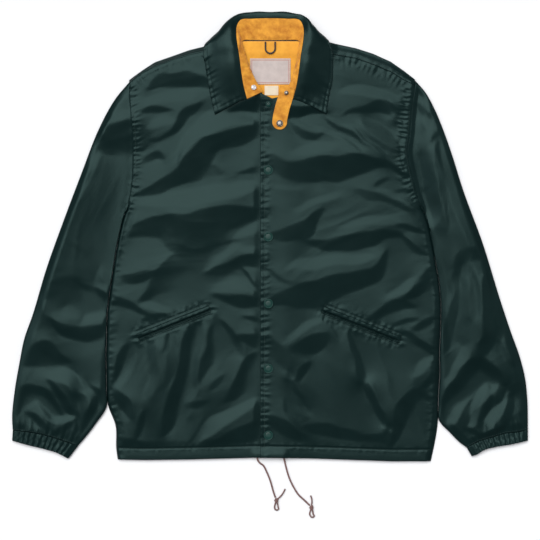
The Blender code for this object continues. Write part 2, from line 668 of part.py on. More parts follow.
def pocket_welt(name, ends, surfaces, look):
    """A welt that lies on its front, made from the front's own places and moved out."""
    start, end = np.array(ends, float)
    run = (end - start) / np.linalg.norm(end - start)
    side = np.array([-run[1], run[0]])
    plan = np.array(
        [[start + (end - start) * s + side * w for s in np.linspace(0, 1, 17)]
         for w in np.linspace(-POCKET_WIDTH / 2, POCKET_WIDTH / 2, 3)]
    )
    level = np.array([[top_height(surfaces, x, y, 3.0) for x, y in row] for row in plan])
    return flat_panel(name, plan, level + 0.3 + CLOTH / 2, look)


def throat_tab(surfaces, look):
    """The tab of the collar stand, from its sewn end down onto the upper front."""
    line = np.array(TAB_LINE, float)
    for place in line:
        if place[2] == 0:
            place[2] = top_height(surfaces, place[0], place[1], 10) + 0.5 + CLOTH / 2
    shares = np.array([0, 0.12, 0.25, 0.38, 0.5, 0.62, 0.74, 0.84, 0.92, 0.97, 1])
    middle = along(line, shares)
    run = np.gradient(middle[:, :2], axis=0)
    run /= np.linalg.norm(run, axis=1)[:, None]
    side = np.column_stack([-run[:, 1], run[:, 0]])
    length = np.linalg.norm(np.diff(line[:, :2], axis=0), axis=1).sum()
    from_tip = (1 - shares) * length
    rounded = np.sqrt(1 - (1 - np.clip((from_tip + 0.6) / TAB_HALF, 0, 1)) ** 2)
    half = TAB_HALF * rounded
    points = np.array(
        [[(*(middle[i, :2] + side[i] * half[i] * w), middle[i, 2]) for w in (-1, -0.5, 0, 0.5, 1)]
         for i in range(len(shares))]
    )
    for row, tilt in zip(points, TAB_TILT):
        row[:, 2] += tilt * np.linspace(-1, 1, 5)
    obj, top = flat_panel("throat_tab", points[..., :2], points[..., 2], look)
    return obj, top


def turned(name, profile, place, look, steps=12, up=(0, 0, 1)):
    """A turned piece: a profile of radius and height from its top to its base, swept round its axis."""
    data = bpy.data.meshes.new(name)
    points = [(radius * MM, 0, height * MM) for radius, height in profile]
    data.from_pydata(points, [(i, i + 1) for i in range(len(points) - 1)], [])
    obj = add_object(name, data, look)
    obj.location = Vector(place) * MM
    obj.rotation_mode = "QUATERNION"
    obj.rotation_quaternion = Vector(up).to_track_quat("Z", "Y")
    screw = obj.modifiers.new("Turn", "SCREW")
    screw.steps = steps
    screw.render_steps = steps
    screw.use_merge_vertices = True
    screw.merge_threshold = 0.00001
    return obj


def snap_profile(radius):
    """A ring snap's cap: a low dome inside a rounded rim."""
    return (
        (0, SNAP_RISE), (radius * 0.6, SNAP_RISE * 0.8), (radius * 0.7, SNAP_RISE * 0.55),
        (radius * 0.86, SNAP_RISE * 0.9), (radius, SNAP_RISE * 0.4), (radius, 0), (0, 0),
    )


def snap(name, place, radius, surfaces, look):
    """A snap's cap, lying on the cloth."""
    x, y = place
    z = top_height(surfaces, x, y, radius) + 0.3
    return turned(name, snap_profile(radius), (x, y, z), look)


def stand_stud(stand, look):
    """The stud that the tab's snap closes onto, square to the collar stand where it is fixed."""
    x, y, radius = STUD
    place, normal, _, _ = stand.ray_cast(Vector((x, y, 100)) * MM, Vector((0, 0, -1)))
    place = place / MM + normal * (CLOTH / 2 + STUD_GAP)
    return turned("stand_stud", snap_profile(radius), place, look, up=normal)


def tube_curve(name, points, radius, look):
    """A round cord through the points, with closed ends."""
    curve = bpy.data.curves.new(name, "CURVE")
    curve.dimensions = "3D"
    curve.bevel_depth = radius * MM
    curve.bevel_resolution = 2
    curve.use_fill_caps = True
    spline = curve.splines.new("POLY")
    spline.points.add(len(points) - 1)
    for target, place in zip(spline.points, points):
        target.co = (*(Vector(place) * MM), 1)
    return add_object(name, curve, look)


def hanger_loop(surfaces, look):
    """The loop of cord that is sewn into the neck seam and lies on the lining."""
    start, end = LOOP_ENDS_X
    middle = (start + end) / 2
    radius = (end - start) / 2
    centre_y = LOOP_LOW_Y + radius
    plan = [(start, LOOP_TOP_Y), (start, (LOOP_TOP_Y + centre_y) / 2)]
    for turn in np.linspace(math.pi, 2 * math.pi, 9):
        plan.append((middle + radius * math.cos(turn), centre_y + radius * math.sin(turn)))
    plan += [(end, (LOOP_TOP_Y + centre_y) / 2), (end, LOOP_TOP_Y)]
    points = [(x, y, top_height(surfaces, x, y, LOOP_WIRE) + LOOP_WIRE + 0.3) for x, y in plan]
    return tube_curve("hanger_loop", points, LOOP_WIRE, look)


def drawcord(name, look):
    """A drawcord from under the hem to its knot, then the knot, its loop and its tail."""
    route = CORD_ROUTES[name]
    tube_curve(name, along(route, np.linspace(0, 1, 22)), CORD_RADIUS, look)
    (knot_x, knot_y), loop_end, tail_end = CORD_KNOTS[name]
    mesh = bmesh.new()
    bmesh.ops.create_uvsphere(mesh, u_segments=12, v_segments=8, radius=1)
    for vert in mesh.verts:
        vert.co = Vector((
            (knot_x + vert.co.x * KNOT_RADII[0]) * MM,
            (knot_y + vert.co.y * KNOT_RADII[1]) * MM,
            (KNOT_RADII[2] + 0.1 + vert.co.z * KNOT_RADII[2]) * MM,
        ))
    to_object(mesh, name + "_knot", look)
    z = CORD_REST
    foot = knot_y - KNOT_RADII[1] - CORD_RADIUS * 0.2
    length = foot - loop_end[1]
    loop = [(knot_x - 1.75, foot, z)]
    for share in (0.3, 0.6):
        loop.append((knot_x - LOOP_HALF * (0.55 + 0.6 * share), foot - length * share, z))
    for angle in range(200, 341, 20):
        turn = math.radians(angle)
        loop.append((
            loop_end[0] + LOOP_HALF * math.cos(turn),
            loop_end[1] + LOOP_HALF * (1 + math.sin(turn)),
            z,
        ))
    for share in (0.6, 0.3):
        loop.append((knot_x + LOOP_HALF * (0.55 + 0.6 * share), foot - length * share, z))
    loop.append((knot_x + 1.75, foot, z))
    tube_curve(name + "_loop", loop, CORD_RADIUS, look)
    away = Vector((tail_end[0] - knot_x, tail_end[1] - knot_y)).normalized()
    first = 1 / math.hypot(away.x / KNOT_RADII[0], away.y / KNOT_RADII[1]) + 0.05
    start = Vector((knot_x + away.x * first, knot_y + away.y * first))
    end = Vector(tail_end)
    tail = [(*(start.lerp(end, share)), z) for share in (0, 0.25, 0.5, 0.75, 1)]
    tube_curve(name + "_tail", tail, CORD_RADIUS * 0.85, look)


def build():
    back = back_panel(GREEN_NYLON)
    sides_right = (SIDE_SEAM_RIGHT, ARMHOLE_RIGHT)
    sides_left = (SIDE_SEAM_LEFT, ARMHOLE_LEFT)
    shoulder_right = [(x, seam) for x, _, seam in SHOULDER_RIGHT]
    shoulder_left = [(x, seam) for x, _, seam in SHOULDER_LEFT[::-1]]
    _, right_top = front_panel(
        "front_right", UNDERLAP_EDGE, sides_right, NECKLINE_RIGHT, shoulder_right,
        lower_front_level, GREEN_NYLON,
    )
    _, left_top = front_panel(
        "front_left", PLACKET_EDGE, sides_left, NECKLINE_LEFT, shoulder_left,
        upper_front_level, GREEN_NYLON,
    )
    fronts = [right_top, left_top]
    sleeve("sleeve_right", ARMHOLE_RIGHT, OUTER_RIGHT, INNER_RIGHT, CUFF_TOP_RIGHT,
           SLEEVE_RIGHT_FOLDS, GREEN_NYLON)
    sleeve("sleeve_left", ARMHOLE_LEFT, OUTER_LEFT, INNER_LEFT, CUFF_TOP_LEFT,
           SLEEVE_LEFT_FOLDS, GREEN_NYLON)
    cuff("cuff_right", CUFF_TOP_RIGHT, CUFF_END_RIGHT, GREEN_NYLON)
    cuff("cuff_left", CUFF_TOP_LEFT, CUFF_END_LEFT, GREEN_NYLON)
    collar_leaf(fronts, GREEN_NYLON)
    stand = collar_stand(YELLOW_LINING)
    stand_stud(stand, SNAP_METAL)
    _, lining_top = lining(back, YELLOW_LINING)
    _, label_top = flat_label("neck_label", LABEL, [lining_top], LABEL_CLOTH, PALE_LABEL)
    flat_label("size_tab", SIZE_TAB, [lining_top], LABEL_CLOTH, PALE_LABEL)
    hanger_loop([lining_top], DARK_LOOP)
    pocket_welt("pocket_welt_right", POCKET_RIGHT, fronts, GREEN_NYLON)
    pocket_welt("pocket_welt_left", POCKET_LEFT, fronts, GREEN_NYLON)
    _, tab_top = throat_tab(fronts, YELLOW_LINING)
    for i, y in enumerate(SNAP_Y):
        radius = SNAP_RADIUS if i else TOP_SNAP_RADIUS
        snap(f"front_snap_{i + 1}", (SNAP_X, y), radius, fronts, SNAP_ENAMEL)
    for i, (x, y, radius) in enumerate(TAB_SNAPS):
        snap(f"tab_snap_{i + 1}", (x, y), radius, [tab_top], SNAP_METAL)
    drawcord("drawcord_right", CORD_MAUVE)
    drawcord("drawcord_left", CORD_MAUVE)


for old in list(bpy.data.objects):
    bpy.data.objects.remove(old)
PARTS = bpy.data.collections.new("coach_jacket")
bpy.context.scene.collection.children.link(PARTS)
build()
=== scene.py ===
"""A coach jacket laid out flat on its back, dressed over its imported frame.

The frame is +X to the right seen from above, +Y from the hem to the collar and +Z up. Tables are in
millimetres, as in the part's source, and become metres where a mesh or a curve is made.
"""

import math

import bpy
import numpy as np
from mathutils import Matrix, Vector
from mathutils.bvhtree import BVHTree


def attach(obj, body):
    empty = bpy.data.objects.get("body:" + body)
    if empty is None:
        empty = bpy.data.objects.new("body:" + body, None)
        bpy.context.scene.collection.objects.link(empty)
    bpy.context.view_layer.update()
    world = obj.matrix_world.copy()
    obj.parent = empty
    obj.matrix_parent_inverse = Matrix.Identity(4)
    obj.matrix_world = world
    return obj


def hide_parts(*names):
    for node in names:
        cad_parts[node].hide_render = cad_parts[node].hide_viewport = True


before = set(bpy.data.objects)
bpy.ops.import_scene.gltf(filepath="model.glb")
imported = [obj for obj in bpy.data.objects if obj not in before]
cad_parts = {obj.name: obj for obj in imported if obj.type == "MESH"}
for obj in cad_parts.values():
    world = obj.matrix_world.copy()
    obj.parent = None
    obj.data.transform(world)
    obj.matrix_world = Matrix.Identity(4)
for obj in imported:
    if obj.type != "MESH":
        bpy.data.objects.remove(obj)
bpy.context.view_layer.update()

MM = 0.001
BODY = "root"
# Surfaces are cast onto from this height, downwards
ABOVE = 100
DOWN = Vector((0, 0, -1))

# Cloth and how its layers lie
CLOTH = 1.6
SEAM = 0.4
TOP_LAYER = 5.4
RIM = (TOP_LAYER + CLOTH / 2) / 2
# How far a front falls towards the body's side below the underarm, and over what width: right, left;
# then how much more it falls just at its edge, and over what width
SIDE_DROP = 2.7
SIDE_DROP_WIDTHS = (3.6, 10)
EDGE_DROP = 1.2
EDGE_DROP_WIDTH = 3.5
UNDERARM_Y = 62
UNDERARM_FADE = 24
FOLD_MARGIN = 16.0
LOWEST_FOLD = -1.2
COLLAR_LIFT = 2.4
COLLAR_LIFT_Y = 304.0
COLLAR_LIFT_X = 112.0
LIFT_SLOPE = 12.0

# Front overlap and hem
PLACKET_EDGE = -16.0
UNDERLAP_EDGE = 14.0
OVERLAP_RISE = 2.6
OVERLAP_SLOPE = 64.0
UNDERLAP_FLAT = 0.2
PLACKET_FLAT = 0.6
HEM_CASING = 19.0
CASING_SLOPE = 15
CASING_RISE = 0.4
CASING_STITCH = 0.25
CASING_STITCH_WIDTH = 1.4
CORD_ARCH = 1.4
CORD_ARCH_HALF = 34.0
CORD_ARCH_SLOPE = 12
HEM_FADE = 8.0
BACK_HEM_SHORT = 1.0

# Side seams from the hem up to the underarm, and armholes from there up to the shoulder: x, y
SIDE_SEAM_RIGHT = (
    (-252, -368), (-254, -352), (-255, -314), (-264, -280), (-268, -255), (-269, -200),
    (-267, -125), (-262, -88), (-254, -31), (-248, 2), (-243, 24), (-237, 42),
)
ARMHOLE_RIGHT = (
    (-237, 42), (-230, 68), (-226, 100), (-225, 143), (-226, 176), (-229, 210), (-233, 252),
)
SIDE_SEAM_LEFT = (
    (266, -371), (270, -352), (271, -311), (273, -268), (276, -225), (274, -190), (278, -145),
    (279, -110), (276, -75), (270, -40), (262, 8), (251, 45),
)
ARMHOLE_LEFT = (
    (251, 45), (241, 75), (231, 117), (227, 140), (231, 170), (234, 209), (240, 254),
)

# Sleeves: the outer edge from the shoulder down, the inner edge from the underarm down: x, y
OUTER_RIGHT = (
    (-236, 255), (-255, 228), (-269, 205), (-283, 177), (-312, 103), (-340, 29), (-370, -55),
    (-393, -132), (-406, -169), (-414, -209), (-422, -256), (-426, -303), (-425, -320),
)
INNER_RIGHT = (
    (-241, 42), (-251, 2), (-257, -31), (-266, -88), (-271, -125), (-273, -200), (-272, -255),
    (-272, -284), (-289, -311), (-306, -333), (-317, -346),
)
OUTER_LEFT = (
    (243, 258), (256, 239), (273, 208), (287, 174), (301, 134), (318, 80), (352, -13), (381, -107),
    (398, -158), (412, -197), (421, -232), (425, -268), (426, -319),
)
INNER_LEFT = (
    (256, 46), (268, 8), (276, -40), (282, -75), (286, -120), (286, -169), (285, -225), (283, -268),
    (284, -302), (298, -325), (313, -340), (325, -349),
)

# Cuffs, each line from its outer end to its inner end: x, y
CUFF_TOP_RIGHT = ((-425, -320), (-399, -323), (-377, -327), (-352, -334), (-317, -346))
CUFF_END_RIGHT = ((-426, -337), (-397, -345), (-372, -351), (-352, -357), (-333, -367))
CUFF_TOP_LEFT = ((426, -319), (409, -323), (389, -325), (369, -331), (341, -340), (325, -349))
CUFF_END_LEFT = ((426, -337), (398, -343), (369, -348), (352, -353), (341, -360), (333, -363))

# Shoulders: x, y of the fold at the top edge, y of the seam that lies on the front
SHOULDER_RIGHT = (
    (-233, 258, 252), (-224, 265, 258), (-210, 275, 269), (-190, 288, 279), (-161, 298, 290),
    (-133, 308, 299), (-100, 316, 306), (-75, 320, 311), (-52, 322, 315),
)
SHOULDER_LEFT = (
    (52, 327, 313), (75, 326, 308), (105, 319, 299), (142, 311, 293), (170, 302, 283),
    (199, 289, 271), (222, 273, 257), (240, 259, 249),
)
NECK_SEAM_Y = 324.0
NECK_HALF = 50.0
BACK_TOP = (-232.8, 239.8)

# Hem: x, y
HEM = (
    (-252, -368), (-205, -369), (-133, -368), (-22, -365), (57, -366), (114, -368), (200, -371),
    (266, -371),
)

# Necklines of the two fronts, from the centre to the shoulder seam: x, y
NECKLINE_RIGHT = (
    (14, 222), (-3, 231), (-13, 236), (-20, 247), (-30, 264), (-37, 282), (-42, 300), (-46.5, 311),
    (-52, 315),
)
NECKLINE_LEFT = (
    (-16, 227), (6, 228), (27, 236), (36, 254), (43, 276), (48, 298), (50.5, 309), (52, 313),
)

# Collar, half of it, from its front end round to the middle of the back: x, y, z of each line
COLLAR_ROLL = (
    (38, 226, 13), (44, 250, 16.5), (48, 276, 19.5), (51, 300, 20.5), (54, 318, 19.5), (55, 326, 18),
    (55.5, 336, 15.5), (54.5, 347, 11), (49.5, 356.5, 7), (28, 359.6, 3.8), (0, 360.5, 3.1),
)
COLLAR_CREST = (
    (47, 224, 14), (53, 250, 18), (58, 277, 21.2), (62, 303, 22.2), (66, 321, 21), (67, 331, 19),
    (68, 342, 16), (65.5, 354, 10.8), (54.5, 364, 6.6), (29, 367.5, 3.7), (0, 367.8, 3.1),
)
COLLAR_FALL = (
    (61, 217, 12.6), (68, 244, 16), (75, 271, 18.4), (79, 298, 19), (84, 316, 18), (84, 329, 16),
    (82, 338, 12.6), (73, 352, 7.2), (56, 365, 4.2), (29, 370.4, 2.2), (0, 370.6, 1.8),
)
COLLAR_TURN = (
    (76, 209, 10.6), (84, 236, 12.6), (90, 264, 14), (95, 289, 14.6), (99, 306, 14), (98, 320, 13),
    (93, 330, 8.5), (80, 341, 1.6), (56, 359, 0.8), (29, 367, 0.8), (0, 367.4, 0.8),
)
COLLAR_EDGE = (
    (91, 201, 0), (98, 230, 0), (103, 257, 0), (107, 283, 0), (110, 301, 0), (108.5, 313, 11),
    (103, 321.5, 3.8), (80, 321, 0.8), (52, 318, 0.8), (28, 318, 0.8), (0, 318, 0.8),
)
# How the wearer's left half differs in its falling part: dx, dy
COLLAR_LEFT_SHIFT = (
    (2, 0), (0, 3), (0, 0), (-3, 1), (-6, 1), (-11, 7), (-14, 8), (-11, -2), (-8, -3), (-2, 0), (0, 0),
)
# Lower edge of the collar stand on each side, from the front end to the middle of the back
STAND_RIGHT = (
    (-12, 237, 9.8), (-22, 252, 9.6), (-33, 274, 9.2), (-39.5, 292, 9.0), (-44.5, 308, 9.4),
    (-47, 318, 8.4), (-47.5, 322.4, 7.2), (-44, 324.6, 6.2), (-33, 325.2, 5.0), (-16, 325.4, 3.8),
    (0, 325.4, 3.4),
)
STAND_LEFT = (
    (26, 236, 10.8), (34, 252, 9.8), (41.5, 274, 9.2), (46.5, 292, 9.2), (49.5, 308, 9.4),
    (50.5, 318, 8.4), (50, 322.4, 7.2), (46, 324.6, 6.2), (34, 325.2, 5.0), (16, 325.4, 3.8),
    (0, 325.4, 3.4),
)
STAND_LAP = 1.5

# What shows in the neck, and what is sewn on
LINING_CLOTH = 1.0
LINING_HALF_TOP = 55.0
LINING_HALF_LOW = 62.0
LINING_LOW_Y = 200.0
LABEL = (-33.0, 34.0, 251.0, 294.0)
LABEL_CLOTH = 0.6
LABEL_STITCH = 1.2
SIZE_TAB = (-9.0, 14.0, 233.0, 249.0)
LOOP_ENDS_X = (-7.5, 8.5)
LOOP_TOP_Y = 321.0
LOOP_LOW_Y = 302.0
LOOP_WIRE = 1.4
POCKET_RIGHT = ((-218, -166), (-99, -119))
POCKET_LEFT = ((88, -121), (215, -171))
POCKET_WIDTH = 12.0
TAB_LINE = ((29, 246, 15.0), (25.5, 229, 13.8), (20.5, 212, 0), (16.5, 194, 0), (15.5, 176, 0))
TAB_TILT = (2.6, 1.8, 1.0, 0.4)
TAB_HALF = 12.2
SNAP_Y = (218.0, 109.0, -1.0, -111.0, -218.0, -328.0)
SNAP_X = -2.5
SNAP_RADIUS = 8.0
TOP_SNAP_RADIUS = 5.0
TAB_SNAPS = ((27.0, 236.0, 3.6), (16.0, 186.0, 5.6))
STUD = (-27.0, 245.0, 4.4)

# Drawcords: the route of each from under the hem to its knot, its loop's end and its tail: x, y, z
CORD_RADIUS = 1.4
CORD_REST = 1.6
CORD_ROUTES = {
    "drawcord_right": (
        (-24, -360, 3.6), (-21.5, -364, 3.6), (-20.5, -369, 2.8), (-17, -374, 1.6), (-11.5, -378, 1.6),
        (-6, -388, 1.6), (-2, -397, 1.6), (1.5, -407, 1.6), (6, -423, 1.6), (9, -431.5, 1.6),
    ),
    "drawcord_left": (
        (21.5, -360, 3.6), (22.5, -364, 3.6), (23.6, -369, 2.8), (25, -375, 1.6), (28, -387, 1.6),
        (33, -402, 1.6), (39, -414, 1.6), (46.5, -426, 1.6), (57, -436, 1.6), (65.5, -444.2, 1.6),
    ),
}
CORD_KNOTS = {
    "drawcord_right": ((10.5, -436), (11, -452), (25, -417)),
    "drawcord_left": ((68.5, -448), (70, -464), (67, -428)),
}
KNOT_RADII = (3.4, 4.4, 2.6)
WRAP_RADIUS = 1.25
WRAP_TURNS = 3
LOOP_HALF = 3.2

# The folds of the shell, traced from the photo as bands of sloping cloth: how steeply the
# cloth climbs uphill across the band, then the x, y and half width of each place along it. A band
# with a minus falls.
FOLDS = (
    # wearer's right front, above the pocket
    (1.1, -197, 246, 6, -181, 255, 11, -150, 259, 13, -122, 257, 12, -102, 252, 8),
    (1.2, -225, 66, 2, -195, 76, 7, -165, 91, 11, -140, 103, 17, -122, 120, 24, -106, 143, 20,
     -88, 154, 13, -60, 164, 14, -35, 171, 12, -10, 176, 11),
    (0.9, -104, 108, 10, -92, 108, 10, -82, 104, 3),
    (1.0, -52, 103, 1, -30, 106, 4, -10, 108, 7),
    (1.1, -212, 206, 2, -195, 209, 6, -178, 208, 4, -163, 204, 1),
    (1.1, -180, 163, 2, -163, 171, 5, -150, 190, 8, -140, 203, 8, -124, 211, 7, -112, 220, 3),
    (1.0, -212, 123, 3, -200, 130, 7, -188, 134, 6, -179, 128, 2),
    (0.6, -202, 163, 2, -185, 161, 3, -170, 165, 2),
    (1.1, -232, 2, 4, -205, 14, 18, -175, 15, 20, -145, 2, 36, -112, 2, 42, -80, 22, 27,
     -50, 34, 16, -12, 40, 8),
    (1.1, -120, -30, 28, -148, -52, 28, -175, -74, 20, -200, -94, 9, -216, -104, 3),
    (1.1, -128, -66, 13, -100, -66, 10, -80, -58, 10, -60, -46, 10, -40, -38, 9, -12, -40, 9),
    (0.8, -48, -50, 4, -35, -66, 5, -18, -84, 4),
    (1.0, -242, -70, 7, -220, -67, 9, -200, -62, 6, -188, -57, 2),
    (0.9, -258, -104, 6, -235, -112, 6, -215, -122, 5, -198, -131, 3),
    (1.0, -205, -141, 3, -190, -136, 7, -175, -133, 6, -160, -128, 2),
    (1.0, -94, -99, 3, -70, -102, 7, -45, -108, 11, -10, -110, 10),
    (-1.1, -152, 124, 4, -138, 148, 11, -120, 170, 15, -95, 190, 17, -70, 195, 11, -35, 194, 8),
    (-0.9, -215, 57, 5, -180, 61, 11, -140, 63, 13, -100, 71, 14, -60, 77, 11, -20, 84, 8),
    (-0.8, -200, 222, 5, -170, 228, 9, -128, 236, 9),
    (-0.7, -202, 182, 5, -182, 191, 7, -165, 191, 4),
    (-0.8, -225, 34, 4, -232, 15, 5, -241, -4, 4),
    (-0.6, -48, -20, 5, -20, -22, 5),
    (-0.8, -113, -61, 3, -92, -40, 8, -72, -21, 8, -52, -13, 5),
    (-0.8, -62, 6, 8, -40, 11, 10, -15, 20, 8),
    (-1.0, -207, -108, 4, -188, -114, 7, -170, -121, 5),
    (-0.7, -92, -84, 8, -65, -76, 12, -35, -82, 10),
    # wearer's right front, below the pocket
    (1.0, -42, -135, 2, -28, -137, 4, -12, -143, 4),
    (1.0, -46, -169, 7, -30, -173, 9, -12, -176, 8),
    (0.7, -80, -140, 3, -65, -160, 6, -55, -180, 8, -47, -196, 4),
    (1.1, -17, -190, 3, -33, -205, 8, -42, -225, 9, -50, -245, 11, -62, -262, 8, -73, -271, 3),
    (0.8, -75, -228, 2, -85, -238, 5, -98, -248, 2),
    (0.9, -130, -280, 4, -115, -275, 6, -102, -270, 2),
    (0.8, -94, -148, 4, -98, -175, 6, -103, -205, 8, -111, -225, 6, -119, -242, 2),
    (1.1, -124, -144, 5, -133, -165, 9, -140, -195, 10, -145, -225, 9, -151, -255, 9,
     -160, -280, 12, -168, -305, 12, -176, -325, 4),
    (0.7, -172, -168, 4, -176, -186, 3),
    (0.4, -165, -182, 8, -163, -215, 9, -170, -245, 5),
    (1.0, -238, -184, 5, -248, -205, 8, -256, -228, 6, -263, -246, 3),
    (0.9, -251, -262, 6, -238, -280, 8, -229, -298, 3),
    (0.9, -207, -289, 3, -212, -310, 6, -219, -329, 3),
    (0.9, -105, -304, 2, -115, -320, 6, -125, -338, 7, -133, -352, 3),
    (1.0, -14, -318, 13, -40, -327, 14, -65, -335, 11, -94, -343, 5),
    (0.9, -18, -272, 3, -18, -305, 5),
    (0.7, -246, -340, 8, -220, -341, 7, -198, -346, 4),
    (-1.1, -14, -268, 4, -45, -284, 9, -70, -298, 11, -95, -312, 11, -115, -330, 9, -126, -347, 6),
    (-0.7, -112, -150, 5, -119, -180, 6, -124, -210, 7, -129, -250, 8, -139, -290, 9),
    (-0.7, -225, -200, 4, -232, -222, 4, -246, -245, 4, -264, -266, 4),
    (-0.6, -196, -180, 8, -192, -230, 9, -200, -262, 6),
    # wearer's left front, above the pocket
    (1.1, 0, 122, 12, 25, 111, 14, 55, 109, 18, 85, 110, 22, 115, 112, 21, 145, 118, 16,
     170, 121, 9, 195, 119, 5, 215, 107, 4, 229, 94, 2),
    (1.0, 32, 190, 3, 45, 176, 7, 60, 166, 8, 75, 163, 6, 90, 167, 2),
    (0.7, 88, 197, 3, 105, 186, 6, 120, 178, 7, 135, 167, 6, 150, 154, 2),
    (1.0, 120, 203, 2, 145, 207, 4, 165, 211, 6, 182, 213, 10, 194, 208, 8),
    (0.9, 197, 222, 3, 205, 206, 6, 210, 190, 5, 219, 178, 3),
    (0.9, 173, 86, 2, 183, 93, 4, 195, 99, 1),
    (1.0, 209, 98, 2, 222, 90, 3, 233, 82, 2),
    (1.0, 211, 76, 2, 222, 77, 3, 233, 74, 1),
    (0.6, 148, 76, 4, 170, 68, 8, 190, 61, 6, 212, 50, 6, 230, 40, 3),
    (1.1, 8, 2, 6, 30, 4, 12, 50, 8, 14, 64, 17, 12, 75, 30, 8, 89, 41, 3),
    (1.1, 58, -8, 4, 85, -12, 9, 110, -12, 11, 140, -9, 13, 170, -5, 12, 195, 3, 7, 217, 3, 4),
    (1.0, 214, 20, 3, 228, 17, 6, 240, 10, 5, 252, 7, 2),
    (1.0, 214, 1, 2, 225, -10, 5, 238, -20, 6, 252, -27, 3),
    (1.1, 0, -104, 5, 30, -104, 13, 55, -97, 21, 80, -94, 24, 105, -84, 20, 130, -76, 14,
     155, -70, 16, 174, -60, 12, 186, -42, 6, 194, -26, 3),
    (0.8, 3, -57, 3, 15, -67, 4, 32, -75, 3),
    (1.1, 220, -99, 2, 240, -89, 9, 254, -76, 14, 268, -60, 14),
    (1.1, 166, -139, 3, 185, -124, 6, 203, -114, 9, 220, -110, 8, 235, -114, 3),
    (1.0, 202, -145, 2, 220, -141, 4, 241, -138, 3),
    (1.0, 237, -155, 3, 250, -147, 5, 267, -137, 4),
    (1.0, 218, -161, 4, 240, -171, 6, 258, -181, 7, 276, -190, 5),
    (-1.0, 125, 240, 7, 150, 240, 10, 180, 234, 8, 212, 230, 6),
    (-0.8, 38, 139, 5, 70, 144, 8, 104, 147, 6),
    (-1.0, 95, 195, 2, 125, 181, 3, 155, 161, 3, 190, 136, 3),
    (-0.9, 50, 189, 2, 85, 175, 3, 115, 161, 3, 150, 139, 3),
    (-0.7, 160, 190, 9, 185, 170, 12, 207, 150, 8),
    (-0.8, 12, 83, 4, 52, 81, 4),
    (-0.7, 42, 45, 5, 75, 58, 6, 112, 68, 6),
    (-0.7, 120, 17, 4, 165, 24, 7, 205, 26, 7),
    (-1.0, 28, -50, 4, 60, -45, 9, 100, -40, 10, 145, -36, 7, 170, -32, 3),
    (-1.0, 195, -98, 4, 215, -88, 6, 242, -71, 5),
    (-0.8, 180, 79, 3, 205, 71, 3, 230, 57, 6, 240, 48, 5),
    # wearer's left front, below the pocket
    (1.0, 37, -184, 3, 55, -181, 11, 72, -176, 15, 89, -171, 9),
    (1.0, 63, -207, 2, 55, -220, 6, 47, -235, 4),
    (0.9, 31, -224, 3, 38, -243, 5, 48, -262, 5, 61, -278, 2),
    (0.6, 0, -172, 4, 14, -192, 11, 27, -214, 8),
    (0.7, 26, -268, 2, 28, -292, 3),
    (1.1, 132, -157, 3, 140, -185, 5, 148, -215, 7, 160, -250, 8, 172, -275, 7, 184, -300, 7,
     194, -327, 3),
    (1.1, 204, -338, 4, 212, -310, 8, 222, -285, 12, 236, -265, 12, 250, -262, 8, 268, -272, 2),
    (1.1, 249, -248, 3, 260, -238, 6, 274, -227, 5),
    (1.0, 2, -305, 9, 25, -318, 12, 52, -331, 6),
    (0.8, 62, -318, 6, 90, -318, 10, 115, -322, 9, 145, -330, 7, 190, -333, 6),
    (-0.9, 29, -175, 5, 45, -160, 5, 62, -147, 5, 82, -140, 4),
    (-0.7, 92, -140, 3, 103, -150, 3, 112, -167, 2),
    (-0.6, 40, -194, 3, 63, -205, 3),
    (-0.9, 29, -294, 4, 40, -308, 5, 54, -324, 3),
    (-0.7, 48, -284, 4, 64, -296, 5),
    (-0.9, 238, -226, 4, 256, -211, 7, 273, -199, 4),
    (-0.8, 262, -250, 5, 266, -262, 5),
    # under the collar's two points
    (3.0, -64, 212, 1, -42, 216, 7, -14, 219, 13),
    (3.0, 26, 205, 11, 45, 206, 9, 68, 206, 5, 93, 202, 1),
    # wearer's right sleeve
    (0.7, -258, 120, 24, -285, 40, 32, -318, -40, 38, -335, -110, 40),
    (1.5, -288, 166, 6, -270, 158, 19, -250, 162, 30, -228, 164, 29),
    (1.0, -285, 150, 4, -292, 138, 5, -297, 121, 2),
    (0.8, -295, 108, 2, -302, 96, 4, -310, 85, 2),
    (0.9, -310, 60, 4, -318, 40, 7, -328, 22, 7, -341, 7, 3),
    (0.5, -262, 32, 6, -266, 0, 13, -266, -40, 14, -266, -70, 9),
    (0.8, -288, -24, 3, -276, -14, 3),
    (0.5, -324, -18, 5, -307, -26, 5),
    (1.1, -381, -100, 4, -362, -93, 10, -345, -78, 13, -326, -66, 7),
    (1.1, -311, -80, 3, -295, -88, 6, -280, -98, 9, -266, -108, 10),
    (1.3, -363, -134, 2, -345, -149, 9, -325, -156, 12, -300, -158, 13, -272, -152, 11),
    (1.1, -412, -213, 3, -390, -200, 16, -375, -194, 21, -355, -202, 11, -330, -209, 3),
    (1.2, -418, -294, 5, -411, -270, 10, -398, -255, 11, -382, -257, 10, -367, -269, 9,
     -355, -283, 6, -346, -292, 2),
    (1.3, -364, -237, 2, -350, -252, 5, -341, -266, 7, -333, -282, 7, -322, -291, 5, -318, -306, 3,
     -315, -328, 2),
    (0.9, -306, -238, 2, -304, -262, 2),
    (0.8, -294, -250, 3, -278, -264, 9, -270, -278, 8),
    (1.4, -287, -267, 4, -295, -290, 6, -306, -315, 5),
    (1.3, -320, -300, 3, -335, -314, 5, -352, -327, 5),
    (1.1, -400, -294, 2, -386, -300, 5, -376, -312, 5, -371, -326, 3),
    (-1.0, -284, 181, 6, -262, 194, 9, -236, 203, 8),
    (-0.8, -333, -123, 9, -318, -128, 6),
    (-1.0, -303, -133, 6, -272, -125, 8),
    (-1.1, -362, -227, 6, -340, -227, 10, -322, -241, 8, -310, -265, 8, -307, -290, 5),
    (-1.1, -398, -281, 4, -386, -271, 5, -370, -285, 7, -356, -300, 7, -334, -298, 5),
    # wearer's left sleeve
